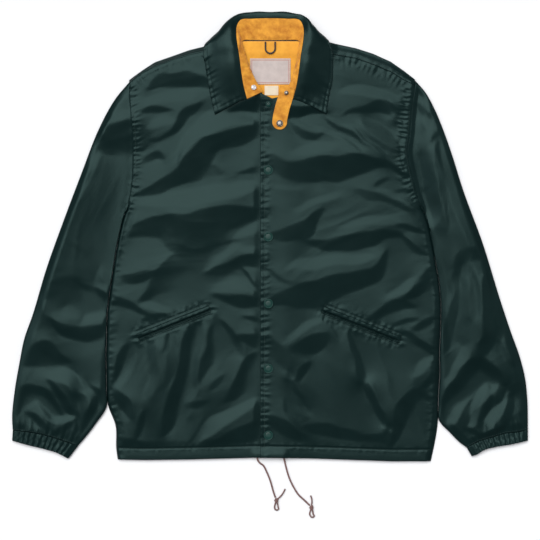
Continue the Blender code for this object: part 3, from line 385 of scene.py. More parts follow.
    (-0.8, 262, 130, 12, 285, 40, 22, 312, -60, 28, 325, -150, 30),
    (0.9, 244, 216, 4, 252, 200, 8, 257, 184, 5),
    (0.8, 281, 176, 3, 270, 165, 5, 261, 154, 3),
    (0.7, 273, 150, 4, 276, 120, 6, 282, 95, 7, 288, 65, 7, 293, 40, 5, 296, 12, 2),
    (0.6, 250, 71, 3, 263, 81, 3),
    (0.8, 303, -47, 4, 320, -32, 10, 347, -27, 10),
    (0.7, 313, -44, 7, 308, -75, 7, 306, -105, 6, 302, -135, 9, 295, -160, 9, 290, -182, 4),
    (0.6, 333, -68, 3, 332, -100, 6, 335, -133, 5),
    (0.9, 359, -68, 9, 358, -95, 12, 357, -130, 10, 358, -160, 12, 352, -187, 8),
    (0.6, 375, -124, 4, 378, -160, 5, 388, -185, 6, 398, -205, 5, 413, -221, 2),
    (1.3, 279, -287, 6, 295, -265, 12, 312, -245, 14, 328, -225, 16, 345, -212, 14, 362, -222, 14,
     376, -240, 13, 381, -264, 9),
    (1.1, 364, -260, 2, 360, -280, 4, 349, -299, 2),
    (1.2, 398, -260, 4, 396, -285, 5, 388, -305, 4, 382, -326, 3),
    (1.1, 329, -316, 3, 345, -328, 4, 365, -331, 4, 379, -317, 3),
    (1.0, 298, -316, 5, 311, -336, 7),
    (-1.3, 342, -248, 7, 325, -264, 8, 305, -284, 11, 298, -303, 11),
    (-1.2, 352, -244, 5, 346, -265, 7, 340, -285, 7, 334, -306, 6),
    (-1.3, 392, -273, 5, 375, -290, 9, 360, -310, 9, 354, -326, 4),
    (-0.8, 327, -186, 8, 311, -214, 9, 297, -236, 8, 284, -254, 5),
)

# The small puckers that stitching draws up in the cloth: their reach, their pitch and their rise
ARMHOLE_PUCKERS = (7.5, 7.5, 1.15)
PLACKET_PUCKERS = (7, 11, 0.8)
CUFF_PUCKERS = (20, 9, 1.3)
PLACKET_STITCH = -9.0
STITCH_LENGTH = 2.3
STITCH_PITCH = 3.3
STITCH_RADIUS = 0.28
TUBE_WALL = 1.0
# How close neighbours stand at a seam, and how far one runs on under the other
SEAM_SHUT = 0.1
SIDE_CLEAR = 0.2
SEAM_LAP = 0.7
SHOULDER_LAP = 3.0
# Half the height of the back's strip where it turns over the shoulders
SHOULDER_RIM = 2.2
# How far the top of each front is tucked under the back's strip
SHOULDER_TUCK = 1.3
# How wide the roll of each sleeve's inner edge is beside the body: right, left
SIDE_ROLLS = (2.8, 8.0)
# y of the highest and the lowest place where each sleeve lies against the body
SIDE_TOP_Y = 36
SIDE_ENDS = (-275.0, -300.0)
SIDE_END_GAP = 12
# How far each front falls towards its armhole, and over what width; how much further the sleeve then
# falls, by what distance, and where it is level again: right, left
ARMHOLE_DROPS = ((0.3, 4.0), (1.5, 4.5))
SLEEVE_DIPS = ((0.1, 3.5, 14.0), (2.7, 7.0, 38.0))
# The grid on which the folds are worked out: its cells and its corner, and how far a slope carries
FIELD_STEP = 2.5
FIELD_SIZE = (400, 360)
FIELD_CORNER = (-500.0, -450.0)
FIELD_REACH = 75.0
FOLD_SLOPE = 0.16
FOLD_BASE = 1.6
FOLD_EDGE = 2.3
# Bands climb towards the key light, so that they face away from it and are dark
UPHILL = (-0.34, 0.94)
CRUMPLE_RISE = 0.32
# How the small wrinkles run: their angle, and the middle and reach of where they run so
FRONT_WIND = (
    (27, -120, 150, 110), (-18, 130, 160, 110), (8, -110, 0, 90), (20, 110, -40, 100),
    (72, -150, -250, 95), (48, -50, -250, 60), (-68, 150, -250, 110), (-40, 40, -260, 60),
    (8, -150, 260, 50), (-10, 150, 260, 50),
)
SLEEVE_RIGHT_WIND = ((20, -270, 180, 80), (70, -310, 40, 110), (10, -340, -120, 70), (55, -360, -250, 90))
SLEEVE_LEFT_WIND = ((-20, 270, 190, 70), (-72, 310, 60, 120), (80, 345, -90, 80), (40, 340, -260, 90))
CUFF_GATHERS = 12
CUFF_GATHER_DEPTH = 0.55
CUFF_LEFT_TILT = 1.7
COLLAR_STITCH = 6.0
POCKET_SLIT = 0.3
SLIT_DEPTH = 1.8
SLIT_WIDTH = 1.6
WELT_CLOTH = 1.0
WELT_SLIT = 2.1
WELT_RISE = 1.1
POCKET_BOX = 9.5

# Densities of the meshes: the common step, and the places close to every edge
STEP = 2.3
EDGE_STEPS = (0.22, 0.7, 1.6)
# The length that each grid is taken to have and its step, across it and down it
FRONT_ROWS = (600, 1.55)
BACK_GRID = ((471, 3.5), (660, 7.0))
SLEEVE_GRID = ((118, STEP), (600, STEP))
CUFF_GRID = ((112, 1.2), (20, 1.6))
LEAF_GRID = ((560, 2.2), (75, 1.9))
STAND_GRID = ((330, 1.8), (30, 1.5))


def smooth(share):
    """0 to 1 with soft ends, for a share that may lie outside 0 to 1."""
    share = np.clip(share, 0, 1)
    return share * share * (3 - 2 * share)


def bell(away, width):
    """1 in the middle, and soft on both sides of it."""
    return np.exp(-((away / width) ** 2))


def rounded(away, radius):
    """0 at an edge and 1 at a radius from it, as the rise of a round."""
    return np.sqrt(1 - (1 - np.clip(away / radius, 0, 1)) ** 2)


def lengths(points, axis):
    """The length from the start of each row (axis 1) or column (axis 0) to each place."""
    first = points.take([0], axis=axis)
    return np.cumsum(np.linalg.norm(np.diff(points, axis=axis, prepend=first), axis=-1), axis=axis)


def along(points, shares):
    """The places at these shares of the length of a smooth curve through the points."""
    points = np.asarray(points, float)
    steps = np.linalg.norm(np.diff(points, axis=0), axis=1)
    marks = np.concatenate([[0], np.cumsum(steps)]) / steps.sum()
    slopes = np.gradient(points, marks, axis=0)
    shares = np.asarray(shares, float)
    left = np.clip(np.searchsorted(marks, shares, side="right") - 1, 0, len(marks) - 2)
    span = (marks[left + 1] - marks[left])[:, None]
    t = (shares - marks[left])[:, None] / span
    return (
        (2 * t**3 - 3 * t**2 + 1) * points[left]
        + (t**3 - 2 * t**2 + t) * span * slopes[left]
        + (3 * t**2 - 2 * t**3) * points[left + 1]
        + (t**3 - t**2) * span * slopes[left + 1]
    )


def between_edges(first, last, start, end, across, down):
    """A patch of places between four edges that meet at its corners, as rows of columns."""
    u = np.asarray(across)[None, :, None]
    v = np.asarray(down)[:, None, None]
    rows = (1 - v) * first[None] + v * last[None]
    columns = (1 - u) * start[:, None] + u * end[:, None]
    corners = (1 - v) * ((1 - u) * first[0] + u * first[-1]) + v * ((1 - u) * last[0] + u * last[-1])
    return rows + columns - corners


def nearest_on(spine, x, y):
    """The distance of each place to a curve, positive on its left, and the length along it."""
    best = np.full(np.shape(x), np.inf)
    side = np.zeros(np.shape(x))
    length = np.zeros(np.shape(x))
    passed = 0.0
    for start, end in zip(spine[:-1], spine[1:]):
        run = end - start
        size = math.hypot(*run)
        t = np.clip(((x - start[0]) * run[0] + (y - start[1]) * run[1]) / size**2, 0, 1)
        off_x = x - start[0] - t * run[0]
        off_y = y - start[1] - t * run[1]
        away = np.hypot(off_x, off_y)
        nearer = away < best
        best = np.where(nearer, away, best)
        side = np.where(nearer, np.sign(run[0] * off_y - run[1] * off_x), side)
        length = np.where(nearer, passed + t * size, length)
        passed += size
    return best * side, length, passed


def fold_slopes():
    """The slope of the shell at each cell of the field, along x and along y."""
    columns = FIELD_CORNER[0] + FIELD_STEP * np.arange(FIELD_SIZE[0])
    rows = FIELD_CORNER[1] + FIELD_STEP * np.arange(FIELD_SIZE[1])
    total = np.zeros((2, FIELD_SIZE[1], FIELD_SIZE[0]))
    weights = np.zeros((FIELD_SIZE[1], FIELD_SIZE[0]))
    covered = np.zeros((FIELD_SIZE[1], FIELD_SIZE[0]))
    uphill = np.array(UPHILL)
    for strength, *places in FOLDS:
        band = along(np.array(places, float).reshape(-1, 3), np.linspace(0, 1, 5 * len(places) // 3))
        edge = FOLD_EDGE if strength > 0 else 2 * FOLD_EDGE
        margin = band[:, 2].max() + edge
        across = slice(*np.searchsorted(columns, (band[:, 0].min() - margin, band[:, 0].max() + margin)))
        down = slice(*np.searchsorted(rows, (band[:, 1].min() - margin, band[:, 1].max() + margin)))
        x, y = np.meshgrid(columns[across], rows[down])
        x = x + 4 * noise(x / 23, y / 23, 7)
        y = y + 4 * noise(x / 23, y / 23, 8)
        best = np.full(x.shape, -np.inf)
        slope_x = np.zeros(x.shape)
        slope_y = np.zeros(x.shape)
        for start, end in zip(band[:-1], band[1:]):
            run = end[:2] - start[:2]
            size = math.hypot(*run)
            t = np.clip(((x - start[0]) * run[0] + (y - start[1]) * run[1]) / size**2, 0, 1)
            away = np.hypot(x - start[0] - t * run[0], y - start[1] - t * run[1])
            inside = start[2] + (end[2] - start[2]) * t - away
            square = np.array([-run[1], run[0]]) / size
            square = square * (1 if square @ uphill > 0 else -1)
            steep = 1 / max(square @ uphill, 0.5)
            nearer = inside > best
            best = np.where(nearer, inside, best)
            slope_x = np.where(nearer, square[0] * steep, slope_x)
            slope_y = np.where(nearer, square[1] * steep, slope_y)
        share = smooth(best / edge + 0.5)
        total[0, down, across] += share * abs(strength) * strength * slope_x
        total[1, down, across] += share * abs(strength) * strength * slope_y
        weights[down, across] += share * abs(strength)
        covered[down, across] = np.maximum(covered[down, across], share)
    return FOLD_SLOPE * covered * total / np.maximum(weights, 1e-6)


def fold_field():
    """The heights whose slopes come nearest to those of the folds."""
    slopes = np.fft.fft2(fold_slopes())
    wave_x = 2 * math.pi * np.fft.fftfreq(FIELD_SIZE[0], FIELD_STEP)[None]
    wave_y = 2 * math.pi * np.fft.fftfreq(FIELD_SIZE[1], FIELD_STEP)[:, None]
    falls = wave_x**2 + wave_y**2 + 1 / FIELD_REACH**2
    return np.real(np.fft.ifft2(-1j * (wave_x * slopes[0] + wave_y * slopes[1]) / falls))


def fold_heights(x, y):
    """How far the folds lift the shell at each place."""
    u = np.clip((x - FIELD_CORNER[0]) / FIELD_STEP, 1, FIELD_SIZE[0] - 3)
    v = np.clip((y - FIELD_CORNER[1]) / FIELD_STEP, 1, FIELD_SIZE[1] - 3)
    column, row = np.floor(u).astype(int), np.floor(v).astype(int)
    total = np.zeros(np.shape(x))
    for j, share_y in enumerate(spline_shares(v - row)):
        for i, share_x in enumerate(spline_shares(u - column)):
            total = total + share_x * share_y * FIELD[row + j - 1, column + i - 1]
    return FOLD_BASE + total


def spline_shares(t):
    """The shares of four neighbours in a smooth line through a row of values."""
    return ((1 - t) ** 3 / 6, (3 * t**3 - 6 * t**2 + 4) / 6, (-3 * t**3 + 3 * t**2 + 3 * t + 1) / 6, t**3 / 6)


def noise(u, v, seed):
    """Smooth noise from -1 to 1 over two coordinates, the same on every run."""
    table = np.random.default_rng(seed).uniform(-1, 1, (97, 97))
    u = np.asarray(u, float)
    v = np.asarray(v, float)
    column = np.floor(u).astype(int)
    row = np.floor(v).astype(int)
    across = smooth(u - column)
    down = smooth(v - row)
    low = table[row % 97, column % 97] * (1 - across) + table[row % 97, (column + 1) % 97] * across
    high = table[(row + 1) % 97, column % 97] * (1 - across)
    high = high + table[(row + 1) % 97, (column + 1) % 97] * across
    return low * (1 - down) + high * down


def puckers(x, y, line, reach, pitch, rise, seed):
    """The small ridges that a line of stitching draws up, square to the line."""
    away, length, _ = nearest_on(np.asarray(line, float), x, y)
    beat = 2 * math.pi * length / pitch + 2.4 * noise(length / pitch / 2.2, 0.5 * away / reach, seed + 2)
    ridge = 0.3 * np.cos(beat) + 0.75 * noise(length / pitch * 2, 0.6 * away / reach, seed)
    ridge = ridge + 0.4 * noise(length / pitch * 4.3, away / reach * 1.4, seed + 1)
    fade = bell(away, reach) * (1 - 0.6 * bell(away, 1.2))
    return rise * ridge * fade - 0.45 * bell(away, 0.9)


def creases(x, y, angle, seed, length=120.0, width=27.0):
    """Long wrinkles that run at an angle, with creased crests and soft troughs, from 0 to 1."""
    turn = math.radians(angle)
    run = x * math.cos(turn) + y * math.sin(turn)
    off = y * math.cos(turn) - x * math.sin(turn)
    off = off + 16 * noise(run / 90, off / 70, seed) + 5 * noise(run / 31, off / 26, seed + 1)
    broad = 1 - np.abs(noise(run / length, off / width, seed + 2)) * 1.6
    fine = 1 - np.abs(noise(run / length * 2.3, off / width * 2.4, seed + 3)) * 1.6
    return broad + 0.2 * fine


def crumple(x, y, seed, wind, rise=CRUMPLE_RISE):
    """Wrinkles all over a piece of light cloth: each wind is an angle, a middle x y and a reach."""
    total = np.zeros(np.shape(x))
    weights = np.full(np.shape(x), 1e-6)
    for i, (angle, middle_x, middle_y, reach) in enumerate(wind):
        weight = bell(np.hypot(x - middle_x, (y - middle_y) * 1.2), reach)
        total = total + weight * creases(x, y, angle, seed + 10 * i)
        weights = weights + weight
    return rise * (total / weights - 0.6)


FIELD = fold_field()


def soft_floor(height, floor, softness=0.5):
    """The height, eased so that it never falls below the floor."""
    return floor + softness * np.logaddexp(0, (height - floor) / softness)


def collar_lift(x, y):
    """How far the layers near the neck lie above the table, over the folded-under collar."""
    up = smooth((y - COLLAR_LIFT_Y + LIFT_SLOPE) / LIFT_SLOPE)
    near = smooth((COLLAR_LIFT_X - np.abs(x)) / LIFT_SLOPE)
    return COLLAR_LIFT * up * near


def side_line(seam, armhole, y):
    """x of the jacket's side at each height y."""
    rows = np.array(seam + armhole[1:], float)
    return np.interp(y, rows[:, 1], rows[:, 0])


def shared_edge(seam, inner, end):
    """The line where the body's side and a sleeve meet on the table, from the armpit down."""
    rows = np.array(seam, float)[::-1]
    sleeve_rows = np.array(inner, float)
    y = np.linspace(SIDE_TOP_Y, end, 24)
    body = np.interp(y, rows[::-1, 1], rows[::-1, 0])
    arm = np.interp(y, sleeve_rows[::-1, 1], sleeve_rows[::-1, 0])
    return np.column_stack([(body + arm) / 2, y])


def hem_line(x):
    """y of the hem at each x."""
    rows = np.array(HEM, float)
    return np.interp(x, rows[:, 0], rows[:, 1])


def box_line(ends, half, shift=0.0):
    """The corners of a stitched box around a slanted line, closed."""
    start, end = np.array(ends, float)
    run = (end - start) / np.linalg.norm(end - start)
    side = np.array([-run[1], run[0]])
    start = start + side * shift
    end = end + side * shift
    over = side * half
    return np.array([start + over, end + over, end - over, start - over, start + over])


SIDE_EDGES = (
    shared_edge(SIDE_SEAM_RIGHT, INNER_RIGHT, SIDE_ENDS[0]),
    shared_edge(SIDE_SEAM_LEFT, INNER_LEFT, SIDE_ENDS[1]),
)
BODY_SIDES = tuple(
    tuple(place for place in seam[:-1] if place[1] < end - SIDE_END_GAP)
    + tuple((x, y) for x, y in edge[::-1])
    + seam[-1:]
    for seam, edge, end in zip((SIDE_SEAM_RIGHT, SIDE_SEAM_LEFT), SIDE_EDGES, SIDE_ENDS)
)

# The seams of the fronts that draw up puckers: a line, and the puckers' reach, pitch and rise
FRONT_SEAMS = (
    ([(x + 4 * min(1, (y - 30) / 60), y) for x, y in ARMHOLE_RIGHT], *ARMHOLE_PUCKERS),
    ([(x - 12 * min(1, (y - 30) / 90), y) for x, y in ARMHOLE_LEFT], *ARMHOLE_PUCKERS),
    ([(x, seam - 2) for x, _, seam in SHOULDER_RIGHT], 10, 9, 0.95),
    ([(x, seam - 2) for x, _, seam in SHOULDER_LEFT], 10, 9, 0.95),
    (SIDE_SEAM_RIGHT, 9, 12, 0.5),
    (SIDE_SEAM_LEFT, 9, 12, 0.5),
    (box_line(POCKET_RIGHT, POCKET_BOX), 8, 10, 0.8),
    (box_line(POCKET_LEFT, POCKET_BOX), 8, 10, 0.8),
    ([(x, y + HEM_CASING) for x, y in HEM], 6, 10, 0.35),
)


def front_level(x, y, fold_share=1.0):
    """The height of the middle of the front cloth's wall at each place."""
    sides = (
        x - side_line(BODY_SIDES[0], ARMHOLE_RIGHT, y),
        side_line(BODY_SIDES[1], ARMHOLE_LEFT, y) - x,
    )
    from_side = np.minimum(*sides)
    below_arm = smooth((UNDERARM_Y - y) / UNDERARM_FADE)
    drop = SIDE_DROP * (1 - smooth(from_side / np.where(x < 0, *SIDE_DROP_WIDTHS)))
    drop = (drop + EDGE_DROP * (1 - smooth(from_side / EDGE_DROP_WIDTH))) * below_arm
    for side, (fall, width) in zip(sides, ARMHOLE_DROPS):
        drop = drop + fall * np.clip(1 - side / width, 0, 1.2) * (1 - below_arm)
    above_hem = y - hem_line(x)
    in_casing = smooth((HEM_CASING - above_hem) / CASING_SLOPE)
    stitch = bell(above_hem - HEM_CASING, CASING_STITCH_WIDTH)
    arch = CORD_ARCH * smooth((CORD_ARCH_HALF - np.abs(x)) / CORD_ARCH_SLOPE) * in_casing
    free = 1 - (1 - smooth(from_side / FOLD_MARGIN)) * below_arm
    free = free * (0.15 + 0.85 * smooth((above_hem - HEM_CASING + 4) / 18))
    lift = fold_heights(x, y) + crumple(x, y, 300, FRONT_WIND)
    folds_up = soft_floor(lift * free * fold_share, LOWEST_FOLD)
    casing = CASING_RISE * in_casing - CASING_STITCH * stitch
    hem_free = smooth(from_side / HEM_FADE)
    level = TOP_LAYER - drop + folds_up + (casing + arch) * hem_free + collar_lift(x, y)
    for ends in (POCKET_RIGHT, POCKET_LEFT):
        slit = box_line(ends, POCKET_WIDTH * (0.5 - POCKET_SLIT))[2:4]
        level = level - SLIT_DEPTH * bell(nearest_on(slit, x, y)[0], SLIT_WIDTH)
    for seed, (line, reach, pitch, rise) in enumerate(FRONT_SEAMS):
        level = level + puckers(x, y, line, reach, pitch, rise, 40 + 3 * seed)
    return level


def lower_front_level(x, y):
    """The wearer's right front, pressed flat where the other one covers it."""
    covered = smooth((x - PLACKET_EDGE + 12) / 12)
    return front_level(x, y, 1 - (1 - UNDERLAP_FLAT) * covered)


def upper_front_level(x, y):
    """The wearer's left front, lifted where it lies on the other one, its folds low in the placket."""
    past_overlap = smooth((x - UNDERLAP_EDGE - 3) / OVERLAP_SLOPE)
    folds_left = PLACKET_FLAT + (1 - PLACKET_FLAT) * past_overlap
    level = front_level(x, y, folds_left) + OVERLAP_RISE * (1 - past_overlap)
    return level + puckers(x, y, [(PLACKET_STITCH, -360), (PLACKET_STITCH, 222)], *PLACKET_PUCKERS, 80)


def edge_distance(points):
    """How far each place of a grid lies from the grid's nearest edge, along its rows and columns."""
    across, down = lengths(points, 1), lengths(points, 0)
    return np.minimum.reduce([across, across[:, -1:] - across, down, down[-1:] - down])


def grid_normals(points):
    """The direction square to a grid at each place."""
    normal = np.cross(np.gradient(points, axis=1), np.gradient(points, axis=0))
    return normal / np.maximum(np.linalg.norm(normal, axis=2, keepdims=True), 1e-9)


def stations(length, step=STEP):
    """Shares of a length: close together near both ends, else a step apart."""
    near = np.array([0, *EDGE_STEPS]) / length
    count = max(3, int((length - 2 * EDGE_STEPS[-1]) / step))
    return np.concatenate([near[:-1], np.linspace(near[-1], 1 - near[-1], count), 1 - near[:-1][::-1]])


def smooth_mesh(name, places, faces):
    """A smooth mesh from places in metres."""
    data = bpy.data.meshes.new(name)
    data.from_pydata(places, [], faces)
    data.shade_smooth()
    return data


def add_object(name, data):
    """An object of the scene that holds the data."""
    made = bpy.data.objects.new(name, data)
    bpy.context.scene.collection.objects.link(made)
    return made


def add_piece(name, data, look, nodes=()):
    """A piece on the one body, in place of its nodes, with its finish's slot."""
    data.materials.append(look)
    piece = add_object(name, data)
    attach(piece, BODY)
    if nodes:
        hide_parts(*nodes)
    return piece


def quads(index):
    """The four corners of each cell of a grid of vertex numbers."""
    return np.stack([index[:-1, :-1], index[:-1, 1:], index[1:, 1:], index[1:, :-1]], axis=-1).reshape(-1, 4)


def shell(name, points, wall, look, nodes=(), up=None):
    """A closed sheet around a grid of places, its rim rounded."""
    rows, columns = points.shape[:2]
    half = wall / 2 * rounded(edge_distance(points), wall / 2)
    normal = grid_normals(points) if up is None else np.broadcast_to(np.array(up, float), points.shape)
    if normal[..., 2].sum() < 0:
        normal = -normal
    top = points + normal * half[..., None]
    low = points - normal * half[..., None]
    top_index = np.arange(rows * columns).reshape(rows, columns)
    low_index = top_index.copy()
    inner = low_index[1:-1, 1:-1]
    low_index[1:-1, 1:-1] = rows * columns + np.arange(inner.size).reshape(inner.shape)
    places = np.concatenate([top.reshape(-1, 3), low[1:-1, 1:-1].reshape(-1, 3)])
    faces = quads(top_index)
    first = places[faces[len(faces) // 2]]
    if np.cross(first[1] - first[0], first[2] - first[0])[2] < 0:
        upper, lower = faces[:, ::-1], quads(low_index)
    else:
        upper, lower = faces, quads(low_index)[:, ::-1]
    data = smooth_mesh(name, (places * MM).tolist(), np.concatenate([upper, lower]).tolist())
    return add_piece(name, data, look, nodes)


def flat_shell(name, points, wall, look, node):
    """A sheet that lies flat, its wall straight up and down; returns its top for casting onto."""
    shell(name, points, wall, look, (node,), up=(0, 0, 1))
    return surface(points + (0, 0, wall / 2))


def surface(points):
    """A grid's surface for casting onto, in millimetres."""
    rows, columns = points.shape[:2]
    index = np.arange(rows * columns).reshape(rows, columns)
    return BVHTree.FromPolygons(points.reshape(-1, 3).tolist(), quads(index).tolist())


def top_height(surfaces, x, y, reach=0.0):
    """The highest of the surfaces near a place, in millimetres."""
    offsets = (-reach, 0, reach) if reach else (0,)
    found = []
    for dx in offsets:
        for dy in offsets:
            for target in surfaces:
                hit = target.ray_cast(Vector((x + dx, y + dy, ABOVE)), DOWN)[0]
                if hit:
                    found.append(hit.z)
    return max(found)


def front_panel(name, node, centre_x, side, neckline, shoulder, level):
    """One front: from the hem up to its neckline and shoulder seam, and from its centre to its side."""
    seam, armhole = side
    inward = math.copysign(1, -seam[0][0])
    side_points = [(x + inward * SIDE_CLEAR, y) for x, y in seam[:-1]]
    side_points += [(x - inward * SEAM_LAP, y) for x, y in (seam[-1:] + armhole[1:])]
    side_points[-1] = (shoulder[0][0] + inward * SEAM_SHUT, shoulder[0][1] - SEAM)
    shoulder_points = [(x, y + SHOULDER_LAP) for x, y in shoulder[::-1][1:-1]]
    top_points = list(neckline) + shoulder_points + [side_points[-1]]
    across = stations(abs(side_points[0][0] - centre_x))
    down = stations(*FRONT_ROWS)
    hem_x = centre_x + (side_points[0][0] - centre_x) * across
    hem = np.column_stack([hem_x, hem_line(hem_x)])
    top = along(top_points, across)
    centre = along([hem[0], (centre_x, 0), neckline[0]], down)
    edge = along([hem[-1]] + side_points[1:], down)
    plan = between_edges(hem, top, centre, edge, across, down)
    points = np.dstack([plan, level(plan[..., 0], plan[..., 1])])
    seam_y = np.interp(-abs(plan[..., 0]), *np.sort([(-abs(x), y) for x, y in shoulder], axis=0).T)
    tucked = smooth((plan[..., 1] - seam_y + 0.8) / 1.6) * smooth((np.abs(plan[..., 0]) - NECK_HALF) / 4)
    points[..., 2] -= SHOULDER_TUCK * tucked
    return flat_shell(name, points, CLOTH, NYLON, node)


def back_panel():
    """The back: flat on the table, then folded over each shoulder onto the front."""
    right = np.array(SHOULDER_RIGHT, float)
    left = np.array(SHOULDER_LEFT, float)
    fold = np.concatenate([right, left])
    columns = BACK_TOP[0] + (BACK_TOP[1] - BACK_TOP[0]) * stations(*BACK_GRID[0])
    fold_y = np.interp(columns, fold[:, 0], fold[:, 1])
    seam_y = np.interp(columns, fold[:, 0], fold[:, 2])
    neck = smooth((NECK_HALF + 4 - np.abs(columns)) / 8)
    start_y = (fold_y - SHOULDER_RIM) * (1 - neck) + (NECK_SEAM_Y - 14) * neck
    top = np.column_stack([columns, start_y])
    across = (columns - columns[0]) / (columns[-1] - columns[0])
    down = stations(*BACK_GRID[1])
    hem_x = HEM[0][0] + (HEM[-1][0] - HEM[0][0]) * across
    hem = np.column_stack([hem_x, hem_line(hem_x) + BACK_HEM_SHORT])
    edges = []
    for end, sign, seam, armhole in (
        (0, -1, BODY_SIDES[0], ARMHOLE_RIGHT), (-1, 1, BODY_SIDES[1], ARMHOLE_LEFT),
    ):
        side = [(x + sign * SEAM_SHUT, y) for x, y in seam[1:-1]]
        side += [(x - sign * SEAM_SHUT, y) for x, y in armhole[:-1]]
        edges.append(along([hem[end]] + side + [top[end]], down))
    right_edge, left_edge = edges
    plan = between_edges(hem, top, right_edge, left_edge, across, down)
    outer = [np.column_stack([row, np.zeros(len(row))]) for row in plan]
    for turn in np.linspace(0, math.pi, 13)[1:]:
        y = (start_y + SHOULDER_RIM * math.sin(turn)) * (1 - neck)
        y = y + (start_y + 10 * turn / math.pi) * neck
        z = SHOULDER_RIM * (1 - math.cos(turn)) * (1 - neck)
        outer.append(np.column_stack([columns, y, z]))
    last = outer[-1]
    bends = len(outer)
    for share in (0.1, 0.2, 0.3, 0.4, 0.5, 0.6, 0.7, 0.8, 0.87, 0.95, 1):
        y = last[:, 1] + (seam_y * (1 - neck) + NECK_SEAM_Y * neck - last[:, 1]) * share
        z = last[:, 2] + 2 * (RIM - SHOULDER_RIM) * share * (1 - neck)
        outer.append(np.column_stack([columns, y, z]))
    points = np.array(outer)
    x, y = points[..., 0], points[..., 1]
    points[..., 2] += collar_lift(x, y)
    normal = grid_normals(points)
    if normal[0, 0, 2] > 0:
        normal = -normal
    over = smooth(np.clip(np.arange(len(points)) - bends + 1, 0, 7) / 7)[:, None] * (1 - neck[None])
    points[..., 2] += over * (front_level(x, y) - TOP_LAYER - collar_lift(x, y))
    middle = points - normal * CLOTH / 2
    shell("back_cloth", middle, CLOTH, NYLON, ("back",))
    return surface(middle + (0, 0, CLOTH / 2))


def tube_places(plan, across, lift, roll=None):
    """Rings of a flattened tube over a plan: its upper layer, then its flat lower layer back."""
    width = np.linalg.norm(plan[:, -1] - plan[:, 0], axis=1)[:, None]
    from_edge = np.minimum(across, 1 - across)[None] * width
    half = RIM * rounded(from_edge, RIM)
    rolled = half
    if roll is not None:
        from_inner = (1 - across)[None] * width
        rolled = np.minimum(half, RIM * rounded(from_inner, roll[:, None]))
    upper = np.dstack([plan, RIM + rolled + lift * smooth(from_edge / FOLD_MARGIN)])
    lower = np.dstack([plan, RIM - half])[:, 1:-1][:, ::-1]
    return np.concatenate([upper, lower, upper[:, :1]], axis=1)


def tube(name, rings, look, node):
    """An open tube through rings, its wall inside them, its rims rounded."""
    rows, columns = rings.shape[:2]
    columns -= 1
    ring = rings[:, :-1]
    normal = np.cross(np.roll(ring, -1, axis=1) - np.roll(ring, 1, axis=1), np.gradient(ring, axis=0))
    normal /= np.maximum(np.linalg.norm(normal, axis=2, keepdims=True), 1e-9)
    top_row, top_column = np.unravel_index(np.argmax(ring[..., 2]), ring.shape[:2])
    if normal[top_row, top_column, 2] < 0:
        normal = -normal
    down = lengths(ring, 0)
    from_rim = np.minimum(down, down[-1:] - down)
    half = TUBE_WALL / 2 * rounded(from_rim, TUBE_WALL / 2)
    middle = ring - normal * TUBE_WALL / 2
    outer = middle + normal * half[..., None]
    inner = middle - normal * half[..., None]
    outer_index = np.arange(rows * columns).reshape(rows, columns)
    inner_index = outer_index.copy()
    inner_index[1:-1] = rows * columns + np.arange((rows - 2) * columns).reshape(rows - 2, columns)
    places = np.concatenate([outer.reshape(-1, 3), inner[1:-1].reshape(-1, 3)])
    places[:, 2] = np.maximum(places[:, 2], 0)
    outer_faces = quads(np.column_stack([outer_index, outer_index[:, 0]]))
    inner_faces = quads(np.column_stack([inner_index, inner_index[:, 0]]))
    corner = places[outer_faces[top_row * columns + top_column if top_row < rows - 1 else 0]]
    if np.cross(corner[1] - corner[0], corner[2] - corner[0])[2] < 0:
        faces = np.concatenate([outer_faces[:, ::-1], inner_faces])
    else:
        faces = np.concatenate([outer_faces, inner_faces[:, ::-1]])
    data = smooth_mesh(name, (places * MM).tolist(), faces.tolist())
    add_piece(name, data, look, (node,))
    return surface(rings[:, : len(rings[0]) // 2 + 1])


def sleeve(name, node, armhole, outer, inner, cuff_top, wind, seed):
    """One sleeve: a flattened tube from its armhole to the top of its cuff."""
    left = int(outer[0][0] > 0)
    outward = 1 if left else -1
    across, down = (stations(*size) for size in SLEEVE_GRID)
    corner = (armhole[-1][0] + 4 * SEAM_SHUT * outward, outer[0][1] - 1)
    seam = [corner] + [(x + outward * SEAM_SHUT, y) for x, y in armhole[::-1]]
    first = along(seam, across)
    last = along(cuff_top, across) + (0, SEAM_SHUT)
    outer_edge = along([corner] + list(outer[1:-1]) + [last[0]], down)
    met = SIDE_EDGES[left]
    closer = [(x + outward * SIDE_CLEAR, y) for x, y in met]
    below = [place for place in inner[:-1] if place[1] < met[-1][1] - SIDE_END_GAP]
    inner_edge = along([seam[-1]] + closer + below + [last[-1]], down)
    plan = between_edges(first, last, outer_edge, inner_edge, across, down)
    x, y = plan[..., 0], plan[..., 1]
    seam_free = smooth((1 - down) / 0.03)
    lift = fold_heights(x, y) + crumple(x, y, 500 + seed * 10, wind)
    lift = soft_floor(lift * seam_free[:, None], LOWEST_FOLD)
    dip, near, far = SLEEVE_DIPS[left]
    from_seam = np.abs(nearest_on(np.array(armhole, float), x, y)[0])
    dip = ARMHOLE_DROPS[left][0] + dip * np.clip(from_seam / near, 0, 1)
    lift = lift - dip * (1 - smooth((from_seam - near) / (far - near)))
    lift = lift + puckers(x, y, armhole, 7, ARMHOLE_PUCKERS[1], 0.35, seed + 5)
    lift = lift + puckers(x, y, cuff_top, *CUFF_PUCKERS, seed + 7)
    beside = smooth((y[:, -1] - met[-1][1]) / 20) * smooth((40 - y[:, -1]) / 20)
    roll = RIM + (SIDE_ROLLS[left] - RIM) * beside
    return tube(name, tube_places(plan, across, lift, roll=roll), NYLON, node)


